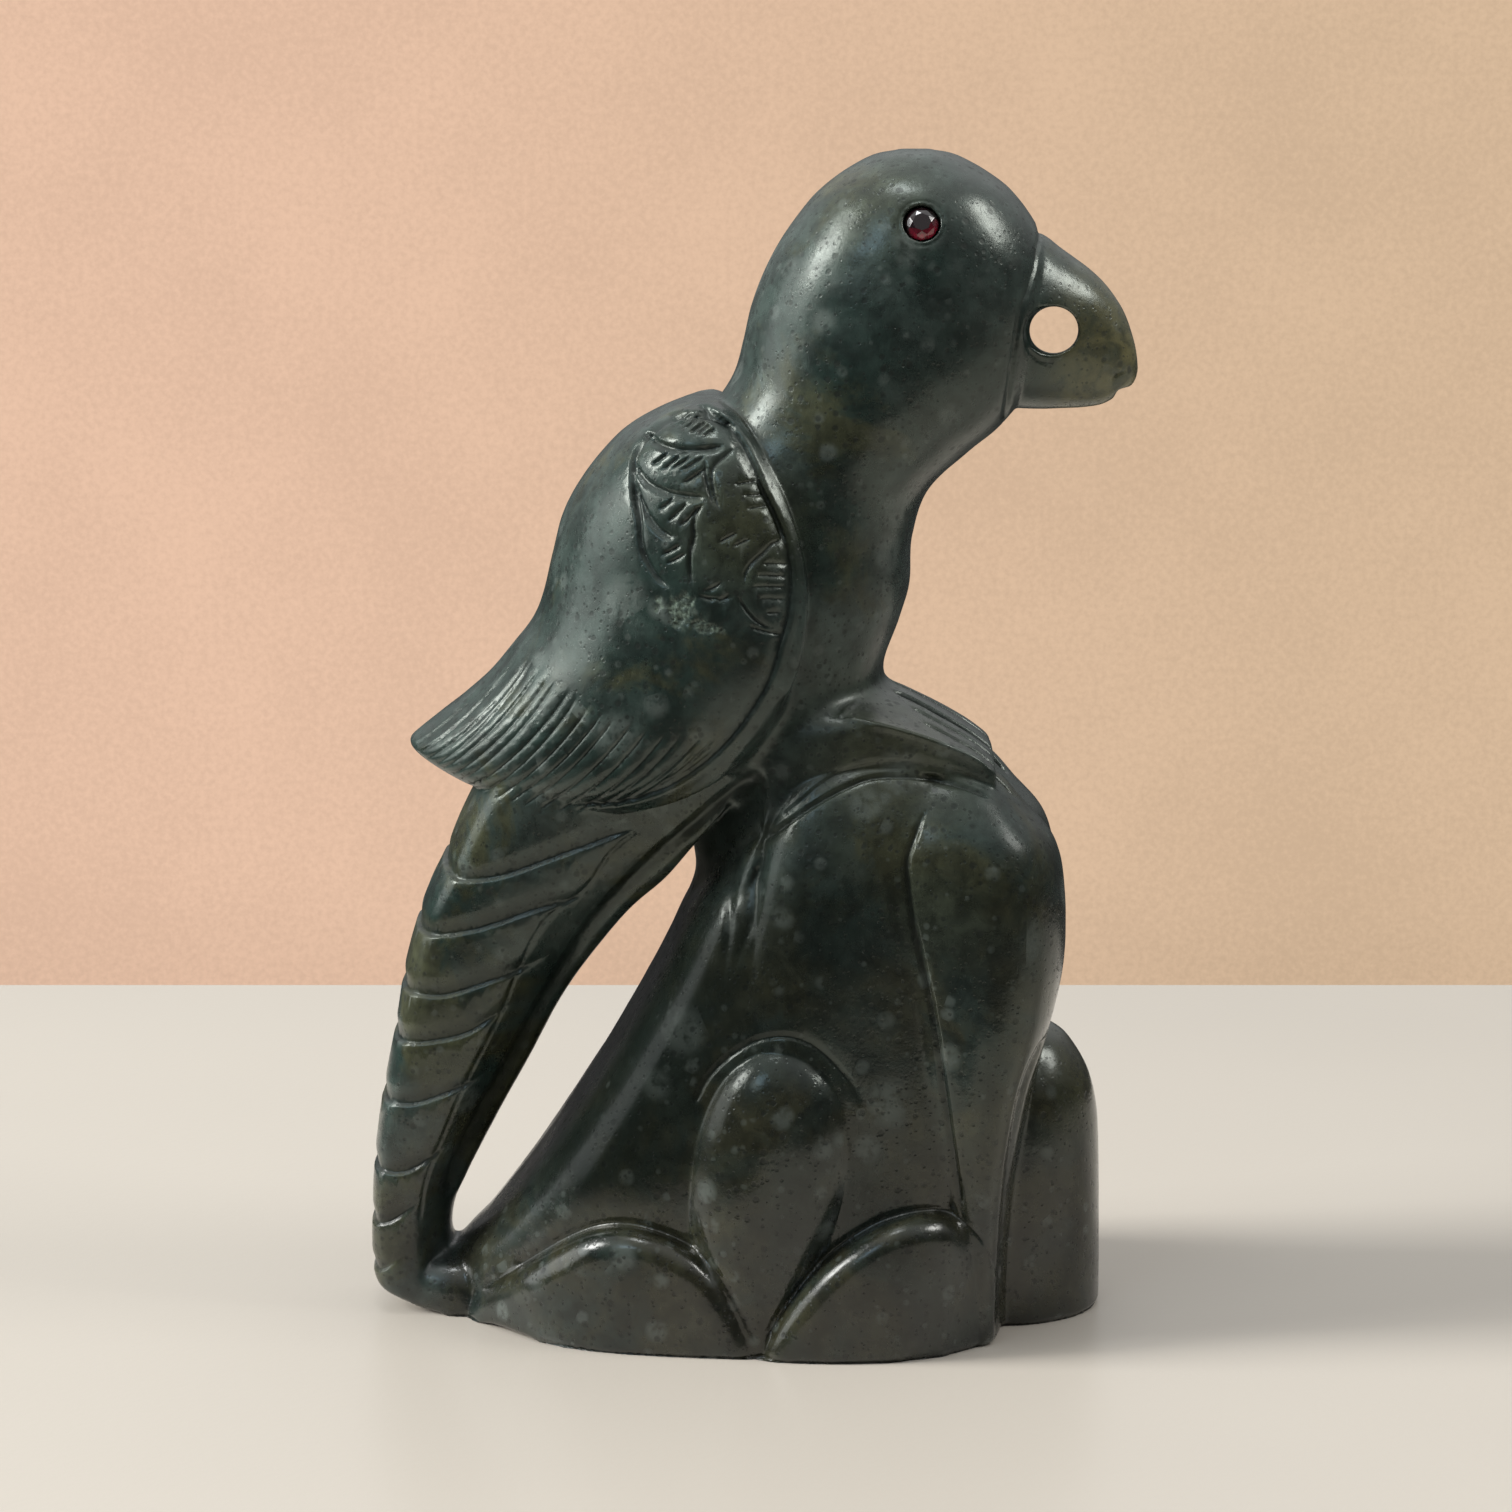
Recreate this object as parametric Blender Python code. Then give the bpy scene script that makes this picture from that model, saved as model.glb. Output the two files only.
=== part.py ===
"""A bird perched on a rock, carved from one piece of dark green jade, with a red stone set in each eye.

The bird faces +X and stands on the XY plane, and the XZ plane runs through its beak, spine and tail.
Each form of the carving is a loft. Its stations cross the bird's side view from a first edge to a second
edge, and each has a half thickness. All forms are drawn in units of a two-hundredth of the height.
"""

import math

import bmesh
import bpy
import numpy as np
from mathutils import Matrix, Vector

# Driving dimensions, in metres.
HEIGHT = 0.200
EYE_DIAMETER = 0.0056
EYE_GAP = 0.0003
BEAK_HOLE_DIAMETER = 0.0082

# Every form below is drawn in these units: 1 mm on a bird 200 mm high.
UNIT = HEIGHT / 200

# Where the right eye sits and the way that it looks, in units.
EYE_PLACE = (28.6, -18.2, 188.3)
EYE_AXIS = (0.0, -0.94, 0.34)

# How finely the forms are lofted and joined.
VOXEL = 1.1
RING_POINTS = 40
STEPS_BETWEEN_STATIONS = 5
SMOOTHING_PASSES = 3
FACES_KEPT = 0.066

JADE = (0.035, 0.055, 0.045, 1.0)
GARNET = (0.25, 0.004, 0.015, 1.0)


def smooth_rows(rows, steps):
    """Rows of numbers with Catmull-Rom curves run through each column, steps to each gap."""
    rows = np.array(rows, float)
    ends = np.vstack([2 * rows[0] - rows[1], rows, 2 * rows[-1] - rows[-2]])
    out = []
    for i in range(1, len(ends) - 2):
        before, here, there, after = ends[i - 1 : i + 3]
        for t in np.arange(steps) / steps:
            out.append(
                0.5 * (2 * here + (there - before) * t
                       + (2 * before - 5 * here + 4 * there - after) * t * t
                       + (3 * here - before - 3 * there + after) * t ** 3)
            )
    return np.array(out + [rows[-1]])


def oval(squareness, at_top=None):
    """A closed oval section: across runs from the first edge to the second, out is the half thickness."""
    def section(way):
        power = 2 / (squareness + way * ((at_top or squareness) - squareness))
        turn = np.linspace(0, 2 * math.pi, RING_POINTS, endpoint=False)
        across, out = -np.cos(turn), np.sin(turn)
        return np.sign(across) * np.abs(across) ** power, np.sign(out) * np.abs(out) ** power
    return section


def mirrored(across, out):
    """Closes half a section, drawn from the first edge to the second, with its mirror image."""
    return np.concatenate([across, across[:0:-1]]), np.concatenate([out, -out[:0:-1]])


def shell(way):
    """The wings' section: round at the spine, fullest towards the hem, and cut off blunt there."""
    across = (1 - np.cos(np.linspace(0, math.pi / 2, RING_POINTS // 2))) ** 1.1
    rise = np.sqrt(1 - (1 - np.minimum(across / 0.72, 1)) ** 2)
    fall = 1 - 0.1 * np.clip((across - 0.72) / 0.28, 0, 1) ** 2
    return mirrored(2 * across - 1, rise * fall)


def blade(way):
    """The tail's section: a rounded outer edge and a flat face, chamfered down to a thin inner edge."""
    corners = [(-1.0, 0.0), (-0.99, 0.35), (-0.93, 0.68), (-0.8, 0.9), (-0.6, 0.98), (-0.3, 1.0), (0.2, 0.97),
               (0.5, 0.76), (0.8, 0.52), (0.96, 0.36), (1.0, 0.2), (1.0, 0.0)]
    return mirrored(*np.array(corners).T)


def loft(form, stations, section):
    """Adds a closed skin to form. A station is (x1, z1, x2, z2, half_thickness, centre_y), in units."""
    rows = smooth_rows([(*s, 0.0)[:6] for s in stations], STEPS_BETWEEN_STATIONS)
    rings = []
    for index, (x1, z1, x2, z2, half, centre) in enumerate(rows):
        across, out = section(index / (len(rows) - 1))
        x = (x1 + x2) / 2 + (x2 - x1) / 2 * across
        z = (z1 + z2) / 2 + (z2 - z1) / 2 * across
        rings.append([form.verts.new((px * UNIT, (centre + half * o) * UNIT, pz * UNIT))
                      for px, o, pz in zip(x, out, z)])
    skin(form, rings)


def skin(form, rings):
    """Adds the faces between each ring and the next, and a cap at each end."""
    for lower, upper in zip(rings, rings[1:]):
        for i in range(len(lower)):
            j = (i + 1) % len(lower)
            form.faces.new((lower[i], lower[j], upper[j], upper[i]))
    form.faces.new(rings[0][::-1])
    form.faces.new(rings[-1])


def relief(form, outline, plan, side, rounding):
    """Adds a stone that stands out of the rock: its upper outline (x, z), and its front's plan (x, reach)."""
    edge = smooth_rows(outline, STEPS_BETWEEN_STATIONS)
    middle = np.array([(edge[0, 0] + edge[-1, 0]) / 2, -3.0])
    reach_x, reach_y = smooth_rows(plan, STEPS_BETWEEN_STATIONS).T
    from_middle = np.linalg.norm(edge - middle, axis=1)[:, None]
    rings = []
    for inset, setback in [(0.0, 25.0), (0.0, 1.0), (0.13, 0.5), (0.5, 0.13), (1.0, 0.0), (2.6, 0.0), (5.0, 0.0)]:
        points = middle + (edge - middle) * np.maximum(1 - inset * rounding / from_middle, 0.1)
        reach = np.interp(points[:, 0], reach_x, reach_y) - setback * (rounding if setback <= 1 else 1)
        rings.append([form.verts.new((x * UNIT, side * max(y, 2.0) * UNIT, z * UNIT))
                      for (x, z), y in zip(points, reach)])
    skin(form, rings)


def body(form):
    """Head, neck, breast and belly in one form, from the crown down: back edge, front edge, half width."""
    loft(form, [
        (25.5, 200.1, 30.5, 200.1, 3.0),
        (20.0, 198.7, 36.0, 198.7, 9.5),
        (12.3, 193.6, 44.2, 193.4, 16.5),
        (6.6, 186.6, 50.2, 184.5, 20.0),
        (2.9, 180.0, 52.0, 176.0, 21.5),
        (0.6, 174.0, 51.0, 168.0, 22.0),
        (-0.8, 168.0, 48.0, 160.5, 22.0),
        (-2.6, 162.0, 43.0, 154.0, 21.5),
        (-7.0, 156.0, 37.2, 149.2, 21.0),
        (-14.0, 149.0, 30.6, 142.8, 21.5),
        (-19.0, 141.0, 28.1, 135.0, 22.5),
        (-22.0, 132.0, 27.6, 127.0, 23.0),
        (-24.0, 123.0, 25.8, 120.5, 23.0),
        (-24.0, 114.0, 23.2, 113.0, 21.5),
        (-20.0, 105.0, 22.5, 104.0, 19.0),
        (-12.0, 97.0, 20.0, 95.0, 16.0),
    ], oval(2.15))


def beak(form):
    """The hooked beak, from inside the head to the tip: upper edge, lower edge, half width."""
    loft(form, [
        (40.0, 186.0, 38.0, 157.5, 14.0),
        (48.6, 186.2, 45.0, 156.7, 12.6),
        (53.2, 183.4, 49.6, 156.5, 11.0),
        (58.0, 179.9, 53.8, 156.6, 9.2),
        (61.3, 176.4, 57.2, 156.8, 7.6),
        (63.8, 172.4, 60.0, 157.3, 6.2),
        (65.4, 167.6, 62.4, 158.6, 4.8),
        (66.0, 163.8, 64.2, 159.8, 3.0),
        (65.9, 162.2, 65.3, 160.8, 1.2),
    ], oval(2.2))


def wings(form):
    """Both folded wings and the back between them: spine edge, leading edge or hem, half width."""
    loft(form, [
        (-9.5, 158.4, -5.0, 158.6, 12.0),
        (-14.5, 156.8, -1.5, 156.4, 18.0),
        (-21.4, 152.8, 2.6, 150.6, 22.5),
        (-27.4, 146.0, 6.4, 142.8, 25.5),
        (-31.3, 139.2, 8.8, 135.2, 27.0),
        (-33.3, 132.3, 9.9, 127.0, 28.0),
        (-34.9, 125.4, 9.0, 118.2, 28.3),
        (-36.6, 121.0, 6.2, 109.8, 28.0),
        (-40.0, 116.6, 0.4, 101.0, 27.0),
        (-44.3, 111.6, -6.5, 95.2, 25.5),
        (-48.5, 107.8, -15.0, 91.4, 23.5),
        (-52.8, 104.4, -25.0, 90.0, 20.5),
        (-56.2, 101.8, -36.5, 90.8, 16.5),
        (-58.0, 100.2, -47.0, 93.2, 11.0),
        (-58.0, 98.8, -53.0, 95.6, 5.0),
    ], shell)


def tail(form):
    """The tail, from under the wings down to the ground: outer edge, inner edge, half width."""
    loft(form, [
        (-42.0, 102.0, 6.0, 101.0, 19.0),
        (-46.0, 94.0, -1.8, 92.0, 19.5),
        (-49.4, 87.4, -8.2, 84.6, 19.0),
        (-52.2, 80.6, -14.0, 77.6, 18.2),
        (-55.0, 74.6, -21.0, 70.8, 17.4),
        (-57.4, 68.0, -27.4, 62.6, 16.4),
        (-59.4, 60.4, -32.6, 54.6, 15.4),
        (-60.9, 51.4, -37.4, 45.4, 14.4),
        (-62.4, 44.0, -41.2, 38.4, 13.5),
        (-63.9, 35.7, -45.2, 31.0, 12.6),
        (-65.0, 27.0, -48.8, 23.8, 11.8),
        (-65.6, 18.0, -51.6, 17.0, 11.2),
        (-65.8, 9.0, -52.0, 9.0, 10.8),
        (-65.3, 3.0, -50.0, 3.0, 10.5),
        (-64.4, -3.0, -49.0, -3.0, 10.0),
    ], blade)


def web(form):
    """The stone left between the tail, the belly and the rock, set back from all three."""
    loft(form, [
        (-14.0, 96.0, 8.0, 102.0, 10.5),
        (-12.0, 88.0, 8.0, 92.0, 10.5),
        (-9.4, 81.5, 8.0, 82.0, 10.5),
        (-8.8, 77.0, 8.0, 74.0, 10.0),
    ], oval(2.6))


def feet(form):
    """Both feet, side by side, from the thighs to the toes: lower edge, upper edge, half width."""
    loft(form, [
        (2.6, 85.4, 3.0, 106.0, 21.3),
        (5.0, 88.6, 6.0, 112.0, 21.6),
        (10.0, 93.4, 13.0, 112.6, 21.6),
        (15.0, 96.2, 19.0, 111.4, 21.6),
        (21.0, 97.2, 25.4, 108.8, 21.4),
        (28.0, 96.9, 31.6, 105.8, 21.2),
        (35.0, 95.4, 37.2, 102.8, 20.8),
        (41.0, 92.8, 42.6, 99.0, 20.4),
        (43.6, 91.4, 43.6, 97.0, 20.0),
    ], oval(4.5))


def rock(form):
    """The rock's inner mass, from the ground up: rear edge, front edge, half depth."""
    loft(form, [
        (-52.0, -3.0, 45.0, -3.0, 31.5),
        (-51.6, 4.0, 45.0, 4.0, 31.5),
        (-50.3, 11.8, 45.5, 11.8, 31.0),
        (-46.2, 15.8, 45.5, 15.8, 30.6),
        (-40.3, 23.0, 45.5, 23.0, 29.8),
        (-35.0, 30.3, 46.0, 30.3, 29.0),
        (-30.2, 37.5, 46.5, 37.5, 28.0),
        (-25.6, 44.6, 47.0, 44.6, 27.0),
        (-21.4, 51.8, 48.0, 51.8, 26.0),
        (-17.4, 58.9, 49.0, 58.9, 25.0),
        (-13.7, 66.0, 49.5, 66.0, 24.0),
        (-10.2, 73.1, 49.5, 73.1, 22.8),
        (-5.0, 80.0, 49.0, 80.0, 21.6),
        (0.0, 87.0, 46.0, 87.0, 20.6),
        (6.0, 94.0, 41.0, 94.0, 18.8),
        (11.0, 100.0, 35.0, 100.0, 14.0),
    ], oval(2.05, 3.0))


def upper_stones(form, side):
    """The tall stone under a foot, and the hanging one in front of it."""
    loft(form, [
        (12.0, 102.0, 25.0, 102.0, 5.0, 12.0 * side),
        (8.0, 97.6, 29.6, 97.6, 9.6, 12.0 * side),
        (4.6, 93.0, 30.0, 93.0, 12.2, 12.0 * side),
        (2.6, 87.0, 29.4, 87.0, 14.4, 12.0 * side),
        (1.4, 79.0, 28.4, 79.0, 16.2, 12.0 * side),
        (-0.6, 68.0, 29.6, 68.0, 17.2, 12.0 * side),
        (-4.4, 56.0, 32.0, 54.0, 18.2, 12.0 * side),
        (-6.0, 42.0, 34.0, 40.0, 19.0, 12.0 * side),
        (-6.0, 20.0, 37.0, 20.0, 19.8, 12.0 * side),
        (-6.0, -3.0, 39.0, -3.0, 20.0, 12.0 * side),
    ], oval(2.7))
    loft(form, [
        (31.0, 100.0, 37.0, 100.0, 4.0, 12.0 * side),
        (28.4, 96.6, 42.6, 95.8, 9.0, 12.0 * side),
        (27.2, 92.6, 46.6, 91.2, 12.8, 12.4 * side),
        (26.6, 85.6, 52.0, 84.6, 16.6, 12.5 * side),
        (26.4, 76.0, 53.8, 76.0, 18.6, 12.5 * side),
        (28.2, 64.0, 53.7, 64.0, 19.4, 12.5 * side),
        (30.4, 52.0, 51.2, 52.0, 19.4, 12.8 * side),
        (32.6, 40.0, 48.0, 40.0, 18.8, 13.0 * side),
        (34.6, 28.0, 45.6, 28.0, 17.6, 13.0 * side),
        (36.4, 16.0, 44.4, 16.0, 16.0, 13.0 * side),
        (37.6, 6.0, 44.0, 6.0, 14.6, 13.0 * side),
        (38.0, -3.0, 44.0, -3.0, 14.0, 13.0 * side),
    ], oval(2.2))


def lower_stones(form, side):
    """The egg-shaped stone low on the rock's side, and the two that stand to its left and right."""
    loft(form, [
        (1.4, 52.8, 6.0, 52.8, 2.5, 22.0 * side),
        (-4.2, 49.6, 11.4, 49.6, 7.6, 22.0 * side),
        (-7.4, 44.6, 15.8, 44.6, 11.2, 22.0 * side),
        (-9.8, 37.0, 18.4, 37.0, 13.2, 22.0 * side),
        (-11.6, 28.0, 18.8, 28.0, 14.0, 21.6 * side),
        (-13.0, 16.0, 17.0, 16.0, 14.2, 21.0 * side),
        (-13.0, 4.0, 15.0, 4.0, 14.4, 20.8 * side),
        (-13.0, -3.0, 15.0, -3.0, 14.4, 20.8 * side),
    ], oval(2.3))
    relief(form, [
        (-52.0, -6.0), (-50.0, 3.0), (-46.6, 8.6), (-40.4, 13.6), (-30.6, 19.6), (-23.0, 22.4), (-16.4, 21.8),
        (-10.4, 18.8), (-6.0, 14.4), (-2.6, 8.6), (0.6, 2.4), (3.0, -6.0),
    ], [
        (-52.0, 6.0), (-49.0, 10.4), (-44.0, 17.6), (-37.0, 26.4), (-26.0, 31.8), (-14.0, 34.4), (3.0, 36.4),
    ], side, 3.2)
    relief(form, [
        (-0.6, -6.0), (2.4, 4.4), (6.0, 11.0), (10.6, 17.2), (16.0, 22.2), (22.0, 25.8), (28.0, 27.2), (33.2, 26.4),
        (37.6, 22.8), (40.2, 18.2), (41.8, 12.8), (43.0, 4.0), (44.0, -6.0),
    ], [
        (-0.6, 36.0), (5.0, 38.2), (16.0, 38.5), (27.0, 37.4), (36.0, 32.4), (42.0, 25.4), (44.6, 17.6),
    ], side, 3.2)


def front_stone(form):
    """The single stone that leans against the front of the rock."""
    loft(form, [
        (48.0, 49.6, 53.0, 49.6, 4.0),
        (41.0, 47.4, 56.0, 47.0, 9.6),
        (34.0, 41.6, 59.4, 41.0, 14.0),
        (29.0, 34.0, 61.0, 34.0, 16.0),
        (27.0, 24.0, 61.4, 24.0, 17.0),
        (26.0, 10.0, 61.6, 10.0, 17.4),
        (26.0, -3.0, 61.6, -3.0, 17.5),
    ], oval(2.0))


def clear_scene():
    for old in list(bpy.data.objects):
        bpy.data.objects.remove(old)


def new_object(name, form):
    mesh = bpy.data.meshes.new(name)
    bmesh.ops.recalc_face_normals(form, faces=form.faces)
    form.to_mesh(mesh)
    form.free()
    obj = bpy.data.objects.new(name, mesh)
    bpy.context.scene.collection.objects.link(obj)
    return obj


def new_cutter(name, form):
    cutter = new_object(name, form)
    cutter.hide_render = True
    cutter.display_type = "WIRE"
    return cutter


def eye_frame(side):
    """The matrix that stands a form on the head at an eye, with +Z along the way that the eye looks."""
    x, y, z = EYE_AXIS
    axis = Vector((x, -side * y, z))
    place = Vector((EYE_PLACE[0], -side * EYE_PLACE[1], EYE_PLACE[2])) * UNIT
    return Matrix.Translation(place) @ axis.to_track_quat("Z", "Y").to_matrix().to_4x4()


def ground_cutter():
    form = bmesh.new()
    bmesh.ops.create_cube(form, size=1.0, matrix=Matrix.Diagonal((180 * UNIT, 120 * UNIT, 20 * UNIT, 1)))
    bmesh.ops.translate(form, verts=form.verts, vec=(0, 0, -10 * UNIT))
    return new_cutter("ground_cut", form)


def beak_hole_cutter():
    """The hole is drilled from both sides, so that it is narrowest on the mid-plane."""
    form = bmesh.new()
    throat = BEAK_HOLE_DIAMETER / 2
    rings = []
    for y, radius, drop in ((-20, 1.22, -0.4), (0, 1.0, 0.0), (20, 1.22, -0.4)):
        rings.append([form.verts.new((51.8 * UNIT + throat * radius * math.cos(turn), y * UNIT,
                                      (169.8 + drop) * UNIT + throat * radius * math.sin(turn)))
                      for turn in np.linspace(0, 2 * math.pi, 32, endpoint=False)])
    skin(form, rings)
    return new_cutter("beak_hole_cut", form)


def socket_cutter(side):
    form = bmesh.new()
    radius = EYE_DIAMETER / 2 + EYE_GAP
    bmesh.ops.create_cone(form, cap_ends=True, segments=32, radius1=radius, radius2=radius, depth=6.2 * UNIT,
                          matrix=Matrix.Translation((0, 0, 0.2 * UNIT)))
    bmesh.ops.transform(form, matrix=eye_frame(side), verts=form.verts)
    return new_cutter("socket_cut", form)


def eye_stone(name, side, material):
    """A round cut stone: a flat table, a ring of crown facets, a thin girdle, and a point behind."""
    form = bmesh.new()
    radius = EYE_DIAMETER / 2
    for count, across, height, turn in ((8, 0.56, 0.42, 0.0), (8, 0.84, 0.24, 0.5), (16, 1.0, 0.02, 0.25),
                                        (16, 1.0, -0.08, 0.25), (8, 0.5, -0.52, 0.0), (1, 0.0, -0.86, 0.0)):
        for step in range(count):
            angle = (step + turn) * 2 * math.pi / count
            form.verts.new((across * radius * math.cos(angle), across * radius * math.sin(angle), height * radius))
    bmesh.ops.convex_hull(form, input=form.verts)
    bmesh.ops.dissolve_limit(form, angle_limit=0.01, verts=form.verts, edges=form.edges)
    bmesh.ops.transform(form, matrix=eye_frame(side), verts=form.verts)
    eye = new_object(name, form)
    eye.data.materials.append(material)


def new_material(name, colour, roughness):
    material = bpy.data.materials.new(name)
    material.use_nodes = True
    shader = material.node_tree.nodes["Principled BSDF"]
    shader.inputs["Base Color"].default_value = colour
    shader.inputs["Roughness"].default_value = roughness
    material.diffuse_color = colour
    return material


def carve(obj, cutter):
    cut = obj.modifiers.new(cutter.name, "BOOLEAN")
    cut.operation = "DIFFERENCE"
    cut.solver = "EXACT"
    cut.object = cutter


def main():
    clear_scene()
    form = bmesh.new()
    for add in (body, beak, wings, tail, web, feet, rock, front_stone):
        add(form)
    for side in (-1, 1):
        upper_stones(form, side)
        lower_stones(form, side)
    carving = new_object("carving", form)
    joined = carving.modifiers.new("One stone", "REMESH")
    joined.mode = "VOXEL"
    joined.voxel_size = VOXEL * UNIT
    joined.use_smooth_shade = True
    smooth = carving.modifiers.new("Soft edges", "SMOOTH")
    smooth.iterations = SMOOTHING_PASSES
    fewer = carving.modifiers.new("Fewer faces", "DECIMATE")
    fewer.ratio = FACES_KEPT
    carve(carving, ground_cutter())
    carve(carving, beak_hole_cutter())
    for side in (-1, 1):
        carve(carving, socket_cutter(side))
    carving.data.materials.append(new_material("polished_jade", JADE, 0.25))
    garnet = new_material("red_garnet", GARNET, 0.08)
    eye_stone("eye_right", -1, garnet)
    eye_stone("eye_left", 1, garnet)


if __name__ == "__main__":
    main()
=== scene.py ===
"""A bird perched on a rock, carved from one piece of dark green jade: its fine shape, finish, light and camera.

The carving is drawn in units of a two-hundredth of its height: 1 mm on a bird 200 mm high. It faces +X, stands on the
XY plane, and its two sides mirror each other across the XZ plane.
"""

import math

import bmesh
import bpy
import numpy as np
from bpy.props import FloatProperty, FloatVectorProperty, IntProperty, PointerProperty
from mathutils import Matrix, Vector


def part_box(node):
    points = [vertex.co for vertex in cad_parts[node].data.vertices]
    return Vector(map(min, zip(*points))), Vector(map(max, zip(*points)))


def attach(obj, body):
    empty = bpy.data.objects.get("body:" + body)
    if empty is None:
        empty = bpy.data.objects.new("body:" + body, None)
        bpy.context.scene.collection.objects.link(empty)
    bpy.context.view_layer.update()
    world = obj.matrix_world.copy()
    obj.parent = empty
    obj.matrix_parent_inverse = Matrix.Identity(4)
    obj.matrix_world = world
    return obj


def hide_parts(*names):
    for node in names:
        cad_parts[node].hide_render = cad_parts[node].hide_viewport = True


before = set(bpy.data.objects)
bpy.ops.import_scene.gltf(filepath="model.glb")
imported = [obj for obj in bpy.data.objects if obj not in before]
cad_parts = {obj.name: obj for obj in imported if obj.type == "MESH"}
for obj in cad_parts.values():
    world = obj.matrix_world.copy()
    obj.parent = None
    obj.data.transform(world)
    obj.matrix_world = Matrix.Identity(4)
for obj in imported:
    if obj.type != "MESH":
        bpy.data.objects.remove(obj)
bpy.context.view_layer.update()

bl_info = {
    "name": "Jade Bird Carving",
    "version": (1, 0, 0),
    "blender": (4, 5, 0),
    "location": "3D Viewport > Sidebar > Jade Bird",
    "description": "Carves a polished jade bird on its rock, sets its red stone eyes and lights it",
    "category": "Object",
}

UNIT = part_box("carving")[1].z / 200


# ---------------------------------------------------------------------------------------------------------------------
# Settings


def setting(kind, **usual):
    """A short way to write settings of one kind: each has a name, a description and a default."""
    def make(name, description, default, **own):
        return kind(name=name, description=description, default=default, **{**usual, **own})
    return make


length = setting(FloatProperty, unit="LENGTH", min=0.0)
number = setting(FloatProperty, min=0.0)
whole = setting(IntProperty, min=0)
tone = setting(FloatVectorProperty, subtype="COLOR", size=3, min=0.0, max=1.0)


class BirdForm(bpy.types.PropertyGroup):
    grain: length("Grain", "Size of the cells that join the forms into one stone", 0.00030, min=0.0001)
    ring_points: whole("Ring Points", "Points round each form", 144, min=24)
    steps: whole("Steps", "Rings from one station of a form to the next", 10, min=2)
    rubbing: whole("Rubbing", "How often the joined stone is rubbed smooth", 7)
    melting: whole("Melting", "How often the seams between flowing forms are melted", 160)
    triangles: whole("Triangles", "Triangles that the finished stone keeps", 192000, min=20000, max=199000)
    wave: length("Hand Waviness", "Height of the slow waves that hand polishing leaves", 0.00015)
    beak_hole: length("Beak Hole", "Diameter of the hole through the beak at its throat", 0.0082, min=0.002)


class CarvedLines(bpy.types.PropertyGroup):
    quills: whole("Quills", "Long grooves across the lower half of each wing", 20, min=2)
    quill_width: length("Quill Width", "Half width of a quill's groove", 0.00036, min=0.0001)
    quill_depth: length("Quill Depth", "Depth of a quill's groove", 0.00036)
    hatch_width: length("Hatch Width", "Half width of a short stroke on the shoulder", 0.00040, min=0.0001)
    hatch_depth: length("Hatch Depth", "Depth of a short stroke on the shoulder", 0.00058)
    ledge_height: length("Tail Ledge", "How far each ledge of the tail steps out", 0.00085)
    crease_depth: length("Crease Depth", "Depth of the creases between the rock's stones", 0.0008)
    seed: whole("Seed", "Seed of the hand's unevenness", 7)


class JadeFinish(bpy.types.PropertyGroup):
    deep: tone("Deep Green", "The stone's main colour", (0.0084, 0.0168, 0.0142))
    grey: tone("Grey Green", "The stone's cloudier ground", (0.026, 0.037, 0.033))
    olive: tone("Olive", "The warm brown-green patches", (0.030, 0.031, 0.0150))
    smoke: tone("Smoke", "The rock's dark grey", (0.0105, 0.0150, 0.0130))
    brown: tone("Brown", "The rock's brown patches", (0.0190, 0.0185, 0.0110))
    cloud: tone("Cloud", "The pale cloudy spots", (0.105, 0.125, 0.115))
    # Painted light: the honey glow stands in for light shining through the thin beak tip.
    honey_glow: tone("Honey", "The stone where it is thin enough to let light through", (0.130, 0.120, 0.056))
    polish: number("Polish", "Roughness of the bird's polished skin", 0.30, min=0.02, max=1)
    low_polish: number("Rock Polish", "Roughness of the rock's polished skin", 0.19, min=0.02, max=1)
    scratches: length("Scratches", "Height of the fine scratches and pits", 0.00006)


class EyeStone(bpy.types.PropertyGroup):
    diameter: length("Diameter", "Across the red stone's girdle", 0.0056, min=0.001)
    gap: length("Gap", "Gap between the red stone and its socket", 0.0003)
    colour: tone("Colour", "The red stone's colour", (0.30, 0.006, 0.030))


class Studio(bpy.types.PropertyGroup):
    floor: tone("Floor", "Colour of the floor", (0.44, 0.405, 0.355))
    # The wall's two colours hold painted light: the same wall is brighter on the left and shaded on the right.
    wall: tone("Wall", "Colour of the wall behind, on the left", (0.775, 0.520, 0.375))
    wall_shaded_right: tone("Wall Right", "Colour of the wall behind, on the right", (0.655, 0.470, 0.315))
    key: number("Key Light", "Power of the small softbox on the left", 6.2)
    panel: number("Left Panel", "Power of the large dim panel on the left", 2.4)
    second: number("Second Light", "Power of the softbox on the right", 4.4)
    top: number("Top Light", "Power of the softbox overhead", 1.6)
    blue: number("Blue Light", "Power of the cool softbox in front", 0.6)
    side: number("Side Light", "Power of the light that casts the soft shadow", 178.0)
    lens: number("Lens", "Focal length on a 36 mm sensor, in millimetres", 98.13, min=20)


# ---------------------------------------------------------------------------------------------------------------------
# The carving's forms. Each is a loft: its stations cross the bird's side view from a first edge to a second edge. A
# station is (x1, z1, x2, z2, half thickness), and a stone on one side of the rock adds how far out its middle is.

# Head, neck, breast and belly in one form, from the crown down: back edge, front edge.
BODY = [
    (25.5, 200.1, 30.5, 200.1, 3), (20, 198.7, 36, 198.7, 9.5), (12.3, 193.6, 44.2, 193.4, 16.5),
    (6.6, 186.6, 50.2, 184.5, 20), (2.9, 180, 52, 176, 21.5), (0.6, 174, 51, 168, 22), (-0.8, 168, 48, 160.5, 22),
    (-2.6, 162, 43, 154, 21.5), (-7, 156, 37.2, 149.2, 21), (-14, 149, 30.6, 142.8, 21.5),
    (-19, 141, 28.1, 135, 22.5), (-22, 132, 27.6, 127, 23), (-24, 123, 25.8, 120.5, 23), (-24, 114, 23.2, 113, 21.5),
    (-20, 105, 22.5, 104, 20.6), (-12, 97, 20, 95, 19.6),
]
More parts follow.
